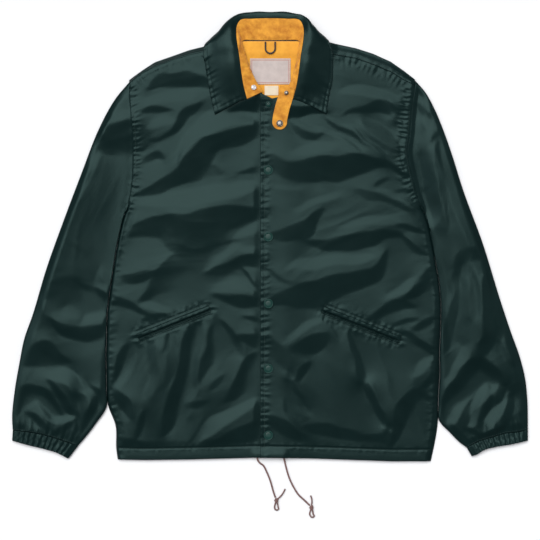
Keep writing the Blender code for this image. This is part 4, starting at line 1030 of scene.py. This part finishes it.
def cuff(name, node, top, end, seed):
    """One elastic cuff: a short flattened tube, its upper layer gathered into small waves."""
    across, down = (stations(*size) for size in CUFF_GRID)
    first = along(top, across) - (0, SEAM_SHUT)
    last = along(end, across)
    start = first[0] + (last[0] - first[0]) * down[:, None]
    finish = first[-1] + (last[-1] - first[-1]) * down[:, None]
    plan = between_edges(first, last, start, finish, across, down)
    x, y = plan[..., 0], plan[..., 1]
    beat = across[None] * CUFF_GATHERS * 2 * math.pi + 1.1 * noise(across * 9, across * 0, seed)[None]
    beat = beat + 0.7 * noise(across[None] * 16 + 0 * x, down[:, None] * 3 + 0 * x, seed + 1)
    wave = np.sign(np.cos(beat)) * np.abs(np.cos(beat)) ** 0.7
    band = 1 - 0.5 * bell(down[:, None] - 0.5, 0.12)
    tilt = CUFF_LEFT_TILT * (down[:, None] - 0.6) * (top[0][0] > 0)
    lift = 1.3 + tilt + CUFF_GATHER_DEPTH * wave * band + 0.25 * noise(x / 3, y / 5, seed + 2)
    return tube(name, tube_places(plan, across, lift), NYLON, node)


def collar_half(side, surfaces):
    """The sections of half of the collar leaf, each a row of five places from its roll to its edge."""
    lines = np.array([COLLAR_ROLL, COLLAR_CREST, COLLAR_FALL, COLLAR_TURN, COLLAR_EDGE], float)
    sections = lines.transpose(1, 0, 2).copy()
    if side > 0:
        shift = np.array(COLLAR_LEFT_SHIFT, float)[:, None]
        sections[:, 2:, :2] += shift * np.array([0.5, 1, 1])[None, :, None]
    sections[..., 0] *= side
    for section in sections:
        edge = section[-1]
        if edge[2] == 0:
            edge[2] = top_height(surfaces, edge[0], edge[1], 6) + CLOTH / 2 + 2 * SEAM
            section[-2][2] = max(section[-2][2], edge[2] + 1.5)
    return sections


def collar_leaf(surfaces):
    """The green leaf of the collar, from its roll over its crest and down onto the fronts."""
    right = collar_half(-1, surfaces)
    left = collar_half(1, surfaces)
    sections = np.concatenate([right, left[-2::-1]])
    shares, leaf_shares = (stations(*size) for size in LEAF_GRID)
    lines = [along(sections[:, i], shares) for i in range(sections.shape[1])]
    rows = np.array(lines).transpose(1, 0, 2)
    points = np.array([along(row, leaf_shares) for row in rows])
    normal = grid_normals(points)
    if normal[5, len(leaf_shares) // 2, 2] < 0:
        normal = -normal
    run = lengths(points[:, -1], 0)[:, None]
    width = lengths(points, 1)
    from_edge = width[:, -1:] - width
    from_ends = np.minimum(run, run[-1] - run) + 0 * width
    outside = smooth((points[..., 2] - 6) / 4)
    lift = 0.9 * noise(run / 4.2 + 0 * width, from_edge / 22, 91) * bell(from_edge, 13)
    lift += 0.7 * noise(width / 4.2, from_ends / 20, 92) * bell(from_ends, 11)
    lift += 0.5 * noise(run / 17 + 0 * width, width / 21, 93)
    for away in (from_edge, from_ends):
        lift -= 0.5 * bell(away - COLLAR_STITCH, 0.9)
    points = points + normal * (lift * (0.25 + 0.75 * outside) * smooth(width / 10))[..., None]
    points[..., 2] = np.maximum(points[..., 2], CLOTH / 2)
    shell("collar_leaf_cloth", points, CLOTH, NYLON, ("collar_leaf",))
    return points, surface(points)


def collar_stand():
    """The inner band of the neck, from the neckline up to the roll of the collar."""
    roll = np.array(COLLAR_ROLL, float)
    upper = np.concatenate([roll * (-1, 1, 1), roll[-2::-1]])
    lower = np.concatenate([np.array(STAND_RIGHT, float), np.array(STAND_LEFT, float)[-2::-1]])
    shares, rise = (stations(*size) for size in STAND_GRID)
    low = along(lower, shares)
    high = along(upper, shares)
    inward = np.array([0, 290, 0]) - low
    inward[:, 2] = 0
    inward /= np.linalg.norm(inward, axis=1)[:, None]
    low = low + inward * STAND_LAP
    points = low[:, None] + (high - low)[:, None] * rise[None, :, None]
    normal = grid_normals(points)
    if normal[..., 2].sum() < 0:
        normal = -normal
    run = lengths(low, 0)[:, None]
    width = lengths(points, 1)
    lift = 0.7 * noise(run / 5.6 + width / 11, width / 16, 95)
    lift += 0.6 * noise(run / 14 + 0 * width, width / 9, 96)
    lift += 1.6 * (1 - bell(noise(run / 10 + width / 30, width / 32, 103), 0.3))
    lift *= smooth(width / 5) * smooth((width[:, -1:] - width) / 4)
    lift -= 0.35 * bell(width - 2.2, 0.7)
    points = points + normal * lift[..., None]
    shell("collar_stand_cloth", points, CLOTH, COTTON, ("collar_stand",))
    return surface(points + normal * CLOTH / 2)


def lining():
    """The lining of the back where the neck shows it, a flat patch that runs on under the fronts."""
    rows = []
    for v in np.linspace(0, 1, 60):
        half = LINING_HALF_LOW + (LINING_HALF_TOP - LINING_HALF_LOW) * v
        y = LINING_LOW_Y + (NECK_SEAM_Y - 1.4 - LINING_LOW_Y) * v
        rows.append([(x, y) for x in np.linspace(-half, half, 60)])
    plan = np.array(rows)
    ground = CLOTH + collar_lift(plan[..., 0], plan[..., 1])
    level = ground + SEAM + LINING_CLOTH / 2 + 0.25 + 0.25 * noise(plan[..., 0] / 18, plan[..., 1] / 24, 97)
    points = np.dstack([plan, level])
    return flat_shell("lining_back_cloth", points, LINING_CLOTH, LINING, "lining_back")


def flat_label(name, node, box, surfaces, wall, look):
    """A rectangle of cloth that lies on what is under it."""
    x0, x1, y0, y1 = box
    plan = np.array([[(x, y) for x in x0 + (x1 - x0) * stations(x1 - x0, 1.6)]
                     for y in y0 + (y1 - y0) * stations(y1 - y0, 1.6)])
    ground = np.array([[top_height(surfaces, x, y) for x, y in row] for row in plan])
    level = ground + 0.25 + wall / 2 + 0.2 * noise(plan[..., 0] / 14, plan[..., 1] / 11, 98)
    points = np.dstack([plan, level])
    return flat_shell(name, points, wall, look, node)


def pocket_welt(name, node, ends, surfaces, seed):
    """A welt that lies on its front, its opening a slit along the middle."""
    start, end = np.array(ends, float)
    size = np.linalg.norm(end - start)
    run = (end - start) / size
    side = np.array([-run[1], run[0]])
    along_it = stations(size, 1.5)
    over_it = stations(POCKET_WIDTH, 0.55)
    plan = np.array([
        [start + (end - start) * s + side * POCKET_WIDTH * (w - 0.5) for s in along_it] for w in over_it
    ])
    ground = np.array([[top_height(surfaces, x, y) for x, y in row] for row in plan])
    s = (along_it * size)[None]
    w = (over_it * POCKET_WIDTH)[:, None]
    ridge = 0.5 * noise(s / 5.5 + 0 * w, w / 9, seed) + 0.2 * noise(s / 2.6 + 0 * w, w / 5, seed + 1)
    slit = WELT_SLIT * bell(w - POCKET_WIDTH * POCKET_SLIT, 0.8) * smooth(s / 5) * smooth((size - s) / 5)
    ridge = (ridge + WELT_RISE) * smooth(w / 1.8) * smooth((POCKET_WIDTH - w) / 1.8)
    level = ground + 0.2 + CLOTH / 2 + ridge - slit
    points = np.dstack([plan, level])
    flat_shell(name, points, WELT_CLOTH, NYLON, node)


def throat_tab(surfaces):
    """The tab of the collar stand, from its sewn end down onto the upper front."""
    line = np.array(TAB_LINE, float)
    for place in line:
        if place[2] == 0:
            place[2] = top_height(surfaces, place[0], place[1], 10) + 0.5 + CLOTH / 2
    length = np.linalg.norm(np.diff(line[:, :2], axis=0), axis=1).sum()
    tip = 1 - np.array([9, 6, 4, 2.4, 1.2, 0.5, 0.15, 0]) / length
    shares = np.concatenate([stations(length, 1.3)[:-6], tip])
    shares = np.unique(np.round(shares, 5))
    middle = along(line, shares)
    run = np.gradient(middle[:, :2], axis=0)
    run /= np.linalg.norm(run, axis=1)[:, None]
    side = np.column_stack([-run[:, 1], run[:, 0]])
    from_tip = (1 - shares) * length
    half = TAB_HALF * rounded(from_tip + 0.15, TAB_HALF)
    over = stations(2 * TAB_HALF, 1.2) * 2 - 1
    plan = middle[:, None, :2] + side[:, None] * half[:, None, None] * over[None, :, None]
    tilt = np.interp(shares, (0, 0.12, 0.25, 0.38, 0.5), (*TAB_TILT, 0))[:, None] * over[None]
    u = plan[..., 0]
    v = plan[..., 1]
    lean = (v + 0.9 * u) / 9
    wrinkle = 1.2 * noise(lean, u / 20, 99) + 0.4 * noise(lean * 2.3, v / 12, 100)
    wrinkle = wrinkle - 0.9 * bell(noise(lean * 1.1, u / 24, 105), 0.3)
    rim = TAB_HALF * (1 - np.abs(over))[None]
    level = middle[:, 2][:, None] + tilt + wrinkle * smooth(rim / 3) * smooth(from_tip / 14)[:, None]
    level -= 0.3 * bell(rim - 2, 0.6)
    points = np.dstack([plan, level])
    return flat_shell("throat_tab_cloth", points, CLOTH, COTTON, "throat_tab")


def turned(name, node, profile, place, look, up=(0, 0, 1), steps=40):
    """A turned piece: a profile of radius and height from its top to its base, swept round its axis."""
    turn = Vector(up).to_track_quat("Z", "Y").to_matrix()
    points = [Vector((0, 0, profile[0][1]))]
    for radius, height in profile[1:-1]:
        for angle in np.linspace(0, 2 * math.pi, steps, endpoint=False):
            points.append(Vector((radius * math.cos(angle), radius * math.sin(angle), height)))
    points.append(Vector((0, 0, profile[-1][1])))
    places = [tuple(turn @ point + Vector(place)) for point in points]
    faces = [(0, 1 + i, 1 + (i + 1) % steps) for i in range(steps)]
    rings = len(profile) - 2
    for ring in range(rings - 1):
        base = 1 + ring * steps
        for i in range(steps):
            j = (i + 1) % steps
            faces.append((base + i, base + steps + i, base + steps + j, base + j))
    base = 1 + (rings - 1) * steps
    faces += [(base + i, len(points) - 1, base + (i + 1) % steps) for i in range(steps)]
    data = smooth_mesh(name, [tuple(c * MM for c in point) for point in places], faces)
    data.set_sharp_from_angle(angle=math.radians(45))
    return add_piece(name, data, look, (node,))


def snap_profile(radius):
    """A ring snap's cap: a low dome inside a rounded rim."""
    return (
        (0, 1.35), (radius * 0.3, 1.32), (radius * 0.5, 1.25), (radius * 0.6, 1.1), (radius * 0.66, 0.9),
        (radius * 0.7, 1.15), (radius * 0.76, 1.75), (radius * 0.83, 2.05), (radius * 0.9, 2.0),
        (radius * 0.96, 1.6), (radius, 0.9), (radius, 0.1), (0, 0.1),
    )


def snap(name, node, place, radius, surfaces, look):
    """A snap's cap, lying on the cloth."""
    x, y = place
    z = top_height(surfaces, x, y, radius * 0.9)
    return turned(name, node, snap_profile(radius), (x, y, z), look)


def stand_stud(stand):
    """The stud that the tab's snap closes onto, square to the collar stand where it is fixed."""
    x, y, radius = STUD
    place, normal = stand.ray_cast(Vector((x, y, ABOVE)), DOWN)[:2]
    if normal.z < 0:
        normal = -normal
    place = place + normal * 0.2
    turned("stand_stud_metal", "stand_stud", snap_profile(radius), place, PEARL, normal)


def tube_curve(name, points, radius, look, nodes):
    """A round cord through the points, in millimetres, with closed ends."""
    curve = bpy.data.curves.new(name, "CURVE")
    curve.dimensions = "3D"
    curve.bevel_depth = radius * MM
    curve.bevel_resolution = 4
    curve.use_fill_caps = True
    spline = curve.splines.new("POLY")
    spline.points.add(len(points) - 1)
    for target, place in zip(spline.points, points):
        target.co = (*(Vector(place) * MM), 1)
    return add_piece(name, curve, look, nodes)


def hanger_loop(surfaces):
    """The loop of cord that is sewn into the neck seam and lies on the lining."""
    start, end = LOOP_ENDS_X
    middle = (start + end) / 2
    radius = (end - start) / 2
    centre_y = LOOP_LOW_Y + radius
    plan = [(start, LOOP_TOP_Y), (start, (LOOP_TOP_Y + centre_y) / 2)]
    for turn in np.linspace(math.pi, 2 * math.pi, 17):
        plan.append((middle + radius * math.cos(turn), centre_y + radius * math.sin(turn)))
    plan += [(end, (LOOP_TOP_Y + centre_y) / 2), (end, LOOP_TOP_Y)]
    plan = along(plan, np.linspace(0, 1, 50))
    points = [(x, y, top_height(surfaces, x, y, LOOP_WIRE) + LOOP_WIRE + 0.1) for x, y in plan]
    tube_curve("hanger_loop_cord", points, LOOP_WIRE, LOOP_CORD, ("hanger_loop",))


def stitch_line(places, line, surfaces, lean=0.0, skip=0.0):
    """Adds the stitches along a line on the surfaces to a list of places and directions."""
    line = np.asarray(line, float)
    steps = np.linalg.norm(np.diff(line, axis=0), axis=1)
    marks = np.concatenate([[0], np.cumsum(steps)])
    for start in np.arange(skip, marks[-1] - skip - STITCH_LENGTH, STITCH_PITCH):
        ends = []
        for mark in (start, start + STITCH_LENGTH):
            x = np.interp(mark, marks, line[:, 0])
            y = np.interp(mark, marks, line[:, 1])
            heights = [s.ray_cast(Vector((x, y, ABOVE)), DOWN)[0] for s in surfaces]
            heights = [hit.z for hit in heights if hit]
            if heights:
                ends.append(Vector((x, y, max(heights) + lean)))
        if len(ends) == 2:
            places.append(ends)


def add_stitches(name, places, look):
    """One mesh with a short rounded thread for each stitch."""
    points = []
    faces = []
    for start, end in places:
        run = end - start
        side = run.cross(Vector((0, 0, 1))).normalized() * STITCH_RADIUS
        up = side.cross(run).normalized() * STITCH_RADIUS
        base = len(points)
        points.append(start - up * 0.6)
        for share, size in ((0.14, 0.8), (0.5, 1.0), (0.86, 0.8)):
            centre = start + run * share
            points += [centre + side * size, centre + up * size, centre - side * size, centre - up * size]
        points.append(end - up * 0.6)
        faces += [(base, base + 1 + (i + 1) % 4, base + 1 + i) for i in range(4)]
        for ring in (0, 1):
            first = base + 1 + ring * 4
            for i in range(4):
                j = (i + 1) % 4
                faces.append((first + i, first + j, first + 4 + j, first + 4 + i))
        faces += [(base + 13, base + 9 + i, base + 9 + (i + 1) % 4) for i in range(4)]
    return add_piece(name, smooth_mesh(name, [tuple(point * MM) for point in points], faces), look, ())


# Materials


def new_material(name):
    """A material with its shader, helpers to add and link nodes, and its places in the object."""
    made = bpy.data.materials.new(name)
    made.use_nodes = True
    tree = made.node_tree
    shader = tree.nodes["Principled BSDF"]

    def node(kind, **values):
        item = tree.nodes.new(kind)
        for key, value in values.items():
            if hasattr(item, key):
                setattr(item, key, value)
            else:
                item.inputs[key.replace("_", " ")].default_value = value
        return item

    return made, shader, node, tree.links.new, node("ShaderNodeTexCoord").outputs["Object"]


def dress(shader, **values):
    """Sets inputs of the shader; an underscore stands for a space in a name."""
    for key, value in values.items():
        shader.inputs[key.replace("_", " ")].default_value = value


def maths(node, link, operation, *terms):
    """The result of a math node over outputs and numbers."""
    made = node("ShaderNodeMath", operation=operation)
    for socket, term in zip(made.inputs, terms):
        if isinstance(term, (int, float)):
            socket.default_value = term
        else:
            link(term, socket)
    return made.outputs[0]


def mottled(node, link, source, colours, scale, detail=3.0):
    """A colour that wanders between two, over patches of a size."""
    cloud = node("ShaderNodeTexNoise", Scale=scale, Detail=detail, Roughness=0.55)
    link(source, cloud.inputs["Vector"])
    ramp = node("ShaderNodeValToRGB")
    ramp.color_ramp.elements[0].position = 0.3
    ramp.color_ramp.elements[1].position = 0.7
    for element, colour in zip(ramp.color_ramp.elements, colours):
        element.color = (*colour, 1)
    link(cloud.outputs["Fac"], ramp.inputs["Fac"])
    return ramp.outputs["Color"]


def weave_height(node, link, source, pitch):
    """The height of a plain weave: two sets of threads crossing."""
    waves = []
    for direction in ("X", "Y"):
        wave = node("ShaderNodeTexWave", bands_direction=direction, Scale=2 * math.pi / (20 * pitch * MM),
                    Distortion=0.6, Detail=1.0, Detail_Scale=1.4)
        link(source, wave.inputs["Vector"])
        waves.append(wave.outputs["Fac"])
    return maths(node, link, "MULTIPLY", *waves)


def bumped(node, link, shader, layers):
    """Sets bumps of several heights one on another: each is a height, its strength and its depth in mm."""
    normal = None
    for height, strength, depth in layers:
        bump = node("ShaderNodeBump", Strength=strength, Distance=depth * MM)
        link(height, bump.inputs["Height"])
        if normal:
            link(normal, bump.inputs["Normal"])
        normal = bump.outputs["Normal"]
    link(normal, shader.inputs["Normal"])


def cloth(name, colours, roughness, weave, crinkle, sheen=0.0, specular=0.5, tint=(1, 1, 1), patches=26.0):
    """Woven cloth: two close colours, a weave of a pitch and depth, and a fine crinkle."""
    made, shader, node, link, source = new_material(name)
    link(mottled(node, link, source, colours, patches), shader.inputs["Base Color"])
    dress(shader, Roughness=roughness, Specular_IOR_Level=specular, Specular_Tint=(*tint, 1),
          Sheen_Weight=sheen, Sheen_Roughness=0.5)
    pitch, weave_depth = weave
    size, crinkle_depth = crinkle
    crease = node("ShaderNodeTexNoise", Scale=1000 / size, Detail=3.0, Roughness=0.5)
    link(source, crease.inputs["Vector"])
    bumped(node, link, shader, [
        (crease.outputs["Fac"], 0.6, crinkle_depth),
        (weave_height(node, link, source, pitch), 0.5, weave_depth),
    ])
    return made


def metal(name, colour, roughness, metallic, coat=0.0):
    """Painted or bare metal with faint scuffs."""
    made, shader, node, link, source = new_material(name)
    darker = tuple(channel * 0.82 for channel in colour)
    link(mottled(node, link, source, (darker, colour), 300.0), shader.inputs["Base Color"])
    dress(shader, Roughness=roughness, Metallic=metallic, Specular_IOR_Level=0.5 if metallic else 0.18,
          Coat_Weight=coat, Coat_Roughness=0.15)
    scuff = node("ShaderNodeTexNoise", Scale=900.0, Detail=4.0)
    link(source, scuff.inputs["Vector"])
    bumped(node, link, shader, [(scuff.outputs["Fac"], 0.25, 0.08)])
    return made


def braid(name, colours, roughness, pitch):
    """Round braided cord: strands that slant both ways."""
    made, shader, node, link, source = new_material(name)
    link(mottled(node, link, source, colours, 320.0), shader.inputs["Base Color"])
    dress(shader, Roughness=roughness, Sheen_Weight=0.25)
    strands = []
    for lean in (math.radians(38), math.radians(-38)):
        turn = node("ShaderNodeMapping")
        turn.inputs["Rotation"].default_value = (0, 0, lean)
        link(source, turn.inputs["Vector"])
        wave = node("ShaderNodeTexWave", bands_direction="Y", Scale=2 * math.pi / (20 * pitch * MM),
                    Distortion=0.8)
        link(turn.outputs["Vector"], wave.inputs["Vector"])
        strands.append(wave.outputs["Fac"])
    bumped(node, link, shader, [(maths(node, link, "MAXIMUM", *strands), 0.8, 0.3)])
    return made


def label_cloth(name, box, ground, border, inset, width):
    """Pale woven label cloth with a thin woven border and nothing on it."""
    made, shader, node, link, source = new_material(name)
    parts = node("ShaderNodeSeparateXYZ")
    link(source, parts.inputs[0])
    x0, x1, y0, y1 = box
    distances = []
    for output, low, high in (("X", x0, x1), ("Y", y0, y1)):
        off = maths(node, link, "SUBTRACT", parts.outputs[output], (low + high) / 2 * MM)
        size = maths(node, link, "ABSOLUTE", off)
        distances.append(maths(node, link, "SUBTRACT", (high - low) / 2 * MM, size))
    nearest = maths(node, link, "MINIMUM", *distances)
    line = maths(node, link, "COMPARE", nearest, inset * MM, width / 2 * MM)
    blend = node("ShaderNodeMix", data_type="RGBA")
    link(line, blend.inputs["Factor"])
    link(mottled(node, link, source, ground, 90.0), blend.inputs["A"])
    blend.inputs["B"].default_value = (*border, 1)
    link(blend.outputs["Result"], shader.inputs["Base Color"])
    dress(shader, Roughness=0.7)
    bumped(node, link, shader, [(weave_height(node, link, source, 0.6), 0.5, 0.08)])
    return made


NYLON = cloth(
    "green_nylon", ((0.0026, 0.0088, 0.0088), (0.0036, 0.0110, 0.0110)), 0.28, (0.7, 0.02), (9.0, 0.12),
    specular=0.15, tint=(0.6, 1.0, 0.96),
)
COTTON = cloth(
    "yellow_cotton", ((0.46, 0.165, 0.014), (0.82, 0.37, 0.040)), 0.75, (0.8, 0.09), (7.0, 0.9),
    sheen=0.15, specular=0.25, patches=85.0,
)
LINING = cloth(
    "yellow_lining", ((0.70, 0.30, 0.030), (0.88, 0.42, 0.046)), 0.75, (0.8, 0.07), (12.0, 0.3),
    sheen=0.15, specular=0.25, patches=60.0,
)
THREAD = cloth(
    "green_thread", ((0.016, 0.036, 0.033), (0.022, 0.046, 0.042)), 0.5, (0.35, 0.05), (3.0, 0.05),
)
YELLOW_THREAD = cloth(
    "yellow_thread", ((0.70, 0.33, 0.05), (0.80, 0.40, 0.07)), 0.6, (0.35, 0.05), (3.0, 0.05),
)
LABEL_LOOK = label_cloth(
    "neck_label_cloth", LABEL, ((0.47, 0.405, 0.385), (0.56, 0.485, 0.46)), (0.42, 0.17, 0.13), 3.0, 0.9,
)
TAB_LOOK = label_cloth(
    "size_tab_cloth", SIZE_TAB, ((0.70, 0.60, 0.45), (0.78, 0.68, 0.52)), (0.72, 0.62, 0.45), 1.6, 0.5,
)
ENAMEL = metal("green_enamel", (0.007, 0.040, 0.034), 0.36, 0.0, coat=0.03)
STEEL = metal("dark_steel", (0.20, 0.185, 0.17), 0.3, 1.0)
PEARL = metal("pearl_cap", (0.80, 0.78, 0.80), 0.25, 0.35, coat=0.5)
DRAWCORD = braid("mauve_cord", ((0.13, 0.062, 0.058), (0.20, 0.105, 0.095)), 0.75, 1.6)
LOOP_CORD = braid("dark_cord", ((0.016, 0.011, 0.009), (0.03, 0.022, 0.018)), 0.6, 1.2)


# Camera, light and floor

# In millimetres: the width of the picture at the shell's height, y of its centre, and the sensor
PHOTO_MM = 891.0
PHOTO_CENTRE_Y = -55.4
SENSOR = 36.0
# In metres: the heights of the camera and the shell, half the floor's side and how low it lies
CAMERA_HEIGHT = 3.0
SHELL_HEIGHT = 0.006
FLOOR_HALF = 8
FLOOR_DROP = 0.0004

camera_data = bpy.data.cameras.new("camera")
camera_data.sensor_width = SENSOR
camera_data.lens = SENSOR * (CAMERA_HEIGHT - SHELL_HEIGHT) / (PHOTO_MM * MM)
camera = add_object("camera", camera_data)
camera.location = (0, PHOTO_CENTRE_Y * MM, CAMERA_HEIGHT)
bpy.context.scene.camera = camera
bpy.context.scene.view_settings.view_transform = "Standard"


def sun(name, off_vertical, turn, spread, strength, colour):
    """A distant softbox: how far it stands off the vertical towards +Y, its turn, its width in degrees."""
    data = bpy.data.lights.new(name, "SUN")
    data.energy = strength
    data.angle = math.radians(spread)
    data.color = colour
    light = add_object(name, data)
    lean = math.radians(off_vertical)
    way = math.radians(turn)
    aim = -Vector((math.sin(lean) * math.sin(way), math.sin(lean) * math.cos(way), math.cos(lean)))
    light.rotation_euler = aim.to_track_quat("-Z", "Y").to_euler()


sun("key", 24, -22, 46, 2.75, (1.0, 0.99, 0.975))
sun("left", 40, -82, 34, 0.42, (0.95, 0.98, 1.0))
sun("right", 40, 80, 34, 0.14, (0.95, 0.98, 1.0))

world = bpy.data.worlds.new("studio")
world.use_nodes = True
world.node_tree.nodes["Background"].inputs["Color"].default_value = (0.93, 0.95, 1.0, 1)
world.node_tree.nodes["Background"].inputs["Strength"].default_value = 0.26
bpy.context.scene.world = world

floor_look, floor_shader, floor_node, floor_link, floor_source = new_material("pale_paper")
floor_link(mottled(floor_node, floor_link, floor_source, ((0.86, 0.865, 0.88), (0.88, 0.885, 0.90)), 3.0),
           floor_shader.inputs["Base Color"])
dress(floor_shader, Roughness=0.9, Specular_IOR_Level=0.1)
floor_data = bpy.data.meshes.new("floor")
corners = [(x * FLOOR_HALF, y * FLOOR_HALF, 0) for x, y in ((-1, -1), (1, -1), (1, 1), (-1, 1))]
floor_data.from_pydata(corners, [], [(0, 1, 2, 3)])
floor_data.materials.append(floor_look)
floor = add_object("floor", floor_data)
floor.location = (0, 0, -FLOOR_DROP)


# Drawcords

for side, length in (("right", 0.0845), ("left", 0.1025)):
    name = "drawcord_" + side
    route = along(CORD_ROUTES[name], np.linspace(0, 1, 40))
    cord = tube_curve(name + "_line", route, CORD_RADIUS, DRAWCORD, (name,))
    (knot_x, knot_y), loop_end, tail_end = CORD_KNOTS[name]
    wraps = []
    for turn in np.linspace(0, 2 * math.pi * WRAP_TURNS, 90):
        rise = (turn / (2 * math.pi * WRAP_TURNS) - 0.5) * 2
        wraps.append((
            knot_x + (KNOT_RADII[0] - WRAP_RADIUS) * math.cos(turn) * (1 - 0.25 * rise**2)
            + 0.4 * math.sin(turn * 0.5),
            knot_y + rise * (KNOT_RADII[1] - 1.5),
            KNOT_RADII[2] + (KNOT_RADII[2] - WRAP_RADIUS) * math.sin(turn),
        ))
    knot = tube_curve(name + "_knot_wraps", wraps, WRAP_RADIUS, DRAWCORD, (name + "_knot",))
    z = CORD_REST
    foot = knot_y - KNOT_RADII[1] + 1.0
    span = foot - loop_end[1]
    loop = [(knot_x - 1.2, foot, z + 0.4)]
    for share in (0.3, 0.6):
        loop.append((knot_x - LOOP_HALF * (0.55 + 0.6 * share), foot - span * share, z))
    for angle in range(200, 341, 20):
        turn = math.radians(angle)
        x = loop_end[0] + LOOP_HALF * math.cos(turn)
        loop.append((x, loop_end[1] + LOOP_HALF * (1 + math.sin(turn)), z))
    for share in (0.6, 0.3):
        loop.append((knot_x + LOOP_HALF * (0.55 + 0.6 * share), foot - span * share, z))
    loop.append((knot_x + 1.2, foot, z + 0.4))
    loop = along(loop, np.linspace(0, 1, 60))
    loop_piece = tube_curve(name + "_loop_end", loop, CORD_RADIUS * 0.9, DRAWCORD,
                            (name + "_loop",))
    away = Vector((tail_end[0] - knot_x, tail_end[1] - knot_y)).normalized()
    reach = 1 / math.hypot(away.x / KNOT_RADII[0], away.y / KNOT_RADII[1])
    start = Vector((knot_x + away.x * (reach - 1.5), knot_y + away.y * (reach - 1.5)))
    bow = Vector((away.y, -away.x)) * 1.6
    tail = []
    for share in np.linspace(0, 1, 16):
        place = start.lerp(Vector(tail_end), share) + bow * math.sin(math.pi * share)
        tail.append((*place, z + 0.5 * (1 - share)))
    tail_piece = tube_curve(name + "_tail_end", tail, CORD_RADIUS * 0.85, DRAWCORD,
                            (name + "_tail",))


# The garment

sides_right = (BODY_SIDES[0], ARMHOLE_RIGHT)
sides_left = (BODY_SIDES[1], ARMHOLE_LEFT)
shoulder_right = [(x, seam) for x, _, seam in SHOULDER_RIGHT]
shoulder_left = [(x, seam) for x, _, seam in SHOULDER_LEFT[::-1]]
back_top = back_panel()
right_top = front_panel("front_right_cloth", "front_right", UNDERLAP_EDGE, sides_right, NECKLINE_RIGHT,
                        shoulder_right, lower_front_level)
left_top = front_panel("front_left_cloth", "front_left", PLACKET_EDGE, sides_left, NECKLINE_LEFT,
                       shoulder_left, upper_front_level)
fronts = [right_top, left_top]
sleeve_right_top = sleeve("sleeve_right_cloth", "sleeve_right", ARMHOLE_RIGHT, OUTER_RIGHT, INNER_RIGHT,
                          CUFF_TOP_RIGHT, SLEEVE_RIGHT_WIND, 21)
sleeve_left_top = sleeve("sleeve_left_cloth", "sleeve_left", ARMHOLE_LEFT, OUTER_LEFT, INNER_LEFT,
                         CUFF_TOP_LEFT, SLEEVE_LEFT_WIND, 31)
cuff("cuff_right_cloth", "cuff_right", CUFF_TOP_RIGHT, CUFF_END_RIGHT, 71)
cuff("cuff_left_cloth", "cuff_left", CUFF_TOP_LEFT, CUFF_END_LEFT, 75)
leaf_points, leaf_top = collar_leaf(fronts)
stand_top = collar_stand()
stand_stud(stand_top)
lining_top = lining()
label_top = flat_label("neck_label_plain", "neck_label", LABEL, [lining_top], LABEL_CLOTH, LABEL_LOOK)
flat_label("size_tab_plain", "size_tab", SIZE_TAB, [lining_top], LABEL_CLOTH, TAB_LOOK)
hanger_loop([lining_top])
pocket_welt("pocket_welt_right_cloth", "pocket_welt_right", POCKET_RIGHT, fronts, 83)
pocket_welt("pocket_welt_left_cloth", "pocket_welt_left", POCKET_LEFT, fronts, 86)
tab_top = throat_tab(fronts)
for i, y in enumerate(SNAP_Y):
    snap(f"front_snap_{i + 1}_cap", f"front_snap_{i + 1}", (SNAP_X, y), SNAP_RADIUS if i else TOP_SNAP_RADIUS,
         fronts, ENAMEL)
for i, (x, y, radius) in enumerate(TAB_SNAPS):
    snap(f"tab_snap_{i + 1}_cap", f"tab_snap_{i + 1}", (x, y), radius, [tab_top], STEEL)


# Stitching

green = []
for ends in (POCKET_RIGHT, POCKET_LEFT):
    stitch_line(green, box_line(ends, POCKET_BOX), fronts, 0.1)
for line in (SHOULDER_RIGHT, SHOULDER_LEFT):
    for step in (2.0, 7.5):
        stitch_line(green, [(x, seam + step) for x, _, seam in line[:-1]], [back_top], 0.1, skip=3)
stitch_line(green, [(PLACKET_STITCH, -352), (PLACKET_STITCH, 216)], [left_top], 0.1)
stitch_line(green, [(x, y + HEM_CASING) for x, y in HEM], fronts, 0.15, skip=2)
for line, shift in ((ARMHOLE_RIGHT, 3.5), (ARMHOLE_LEFT, -3.5)):
    stitch_line(green, [(x + shift, y) for x, y in line[1:-1]], fronts, 0.1)
sleeves = [sleeve_right_top, sleeve_left_top]
for line in (CUFF_TOP_RIGHT, CUFF_TOP_LEFT):
    stitch_line(green, [(x * 0.998, y + 2.5) for x, y in line], sleeves, 0.1, skip=2)
edge_line = np.array(leaf_points[:, -1])
outside = edge_line[:, 2] > 6
for select in (edge_line[:, 0] < 0, edge_line[:, 0] > 0):
    chosen = leaf_points[np.flatnonzero(select & outside)]
    width = np.linalg.norm(chosen[:, -1] - chosen[:, 0], axis=1)
    column = [int(np.searchsorted(np.linspace(0, 1, chosen.shape[1]), 1 - COLLAR_STITCH / w)) for w in width]
    line = [tuple(row[c, :2]) for row, c in zip(chosen[::3], column[::3])]
    stitch_line(green, line, [leaf_top], 0.9, skip=4)
add_stitches("shell_stitching", green, THREAD)

yellow = []
inset = TAB_HALF - 2
tab_line = np.array(TAB_LINE, float)[:, :2]
run = np.gradient(tab_line, axis=0)
run /= np.linalg.norm(run, axis=1)[:, None]
across = np.column_stack([-run[:, 1], run[:, 0]])
for side in (-1, 1):
    line = along(tab_line[:-1] + across[:-1] * inset * side, np.linspace(0, 1, 20))
    stitch_line(yellow, line, [tab_top], 0.05)
stitch_line(yellow, [(-34, NECK_SEAM_Y + 3), (34, NECK_SEAM_Y + 3)], [stand_top], 0.05)
x0, x1, y0, y1 = np.array(LABEL) + (LABEL_STITCH, -LABEL_STITCH, LABEL_STITCH, -LABEL_STITCH)
stitch_line(yellow, [(x0, y0), (x1, y0), (x1, y1), (x0, y1), (x0, y0)], [label_top], 0.05)
add_stitches("lining_stitching", yellow, YELLOW_THREAD)
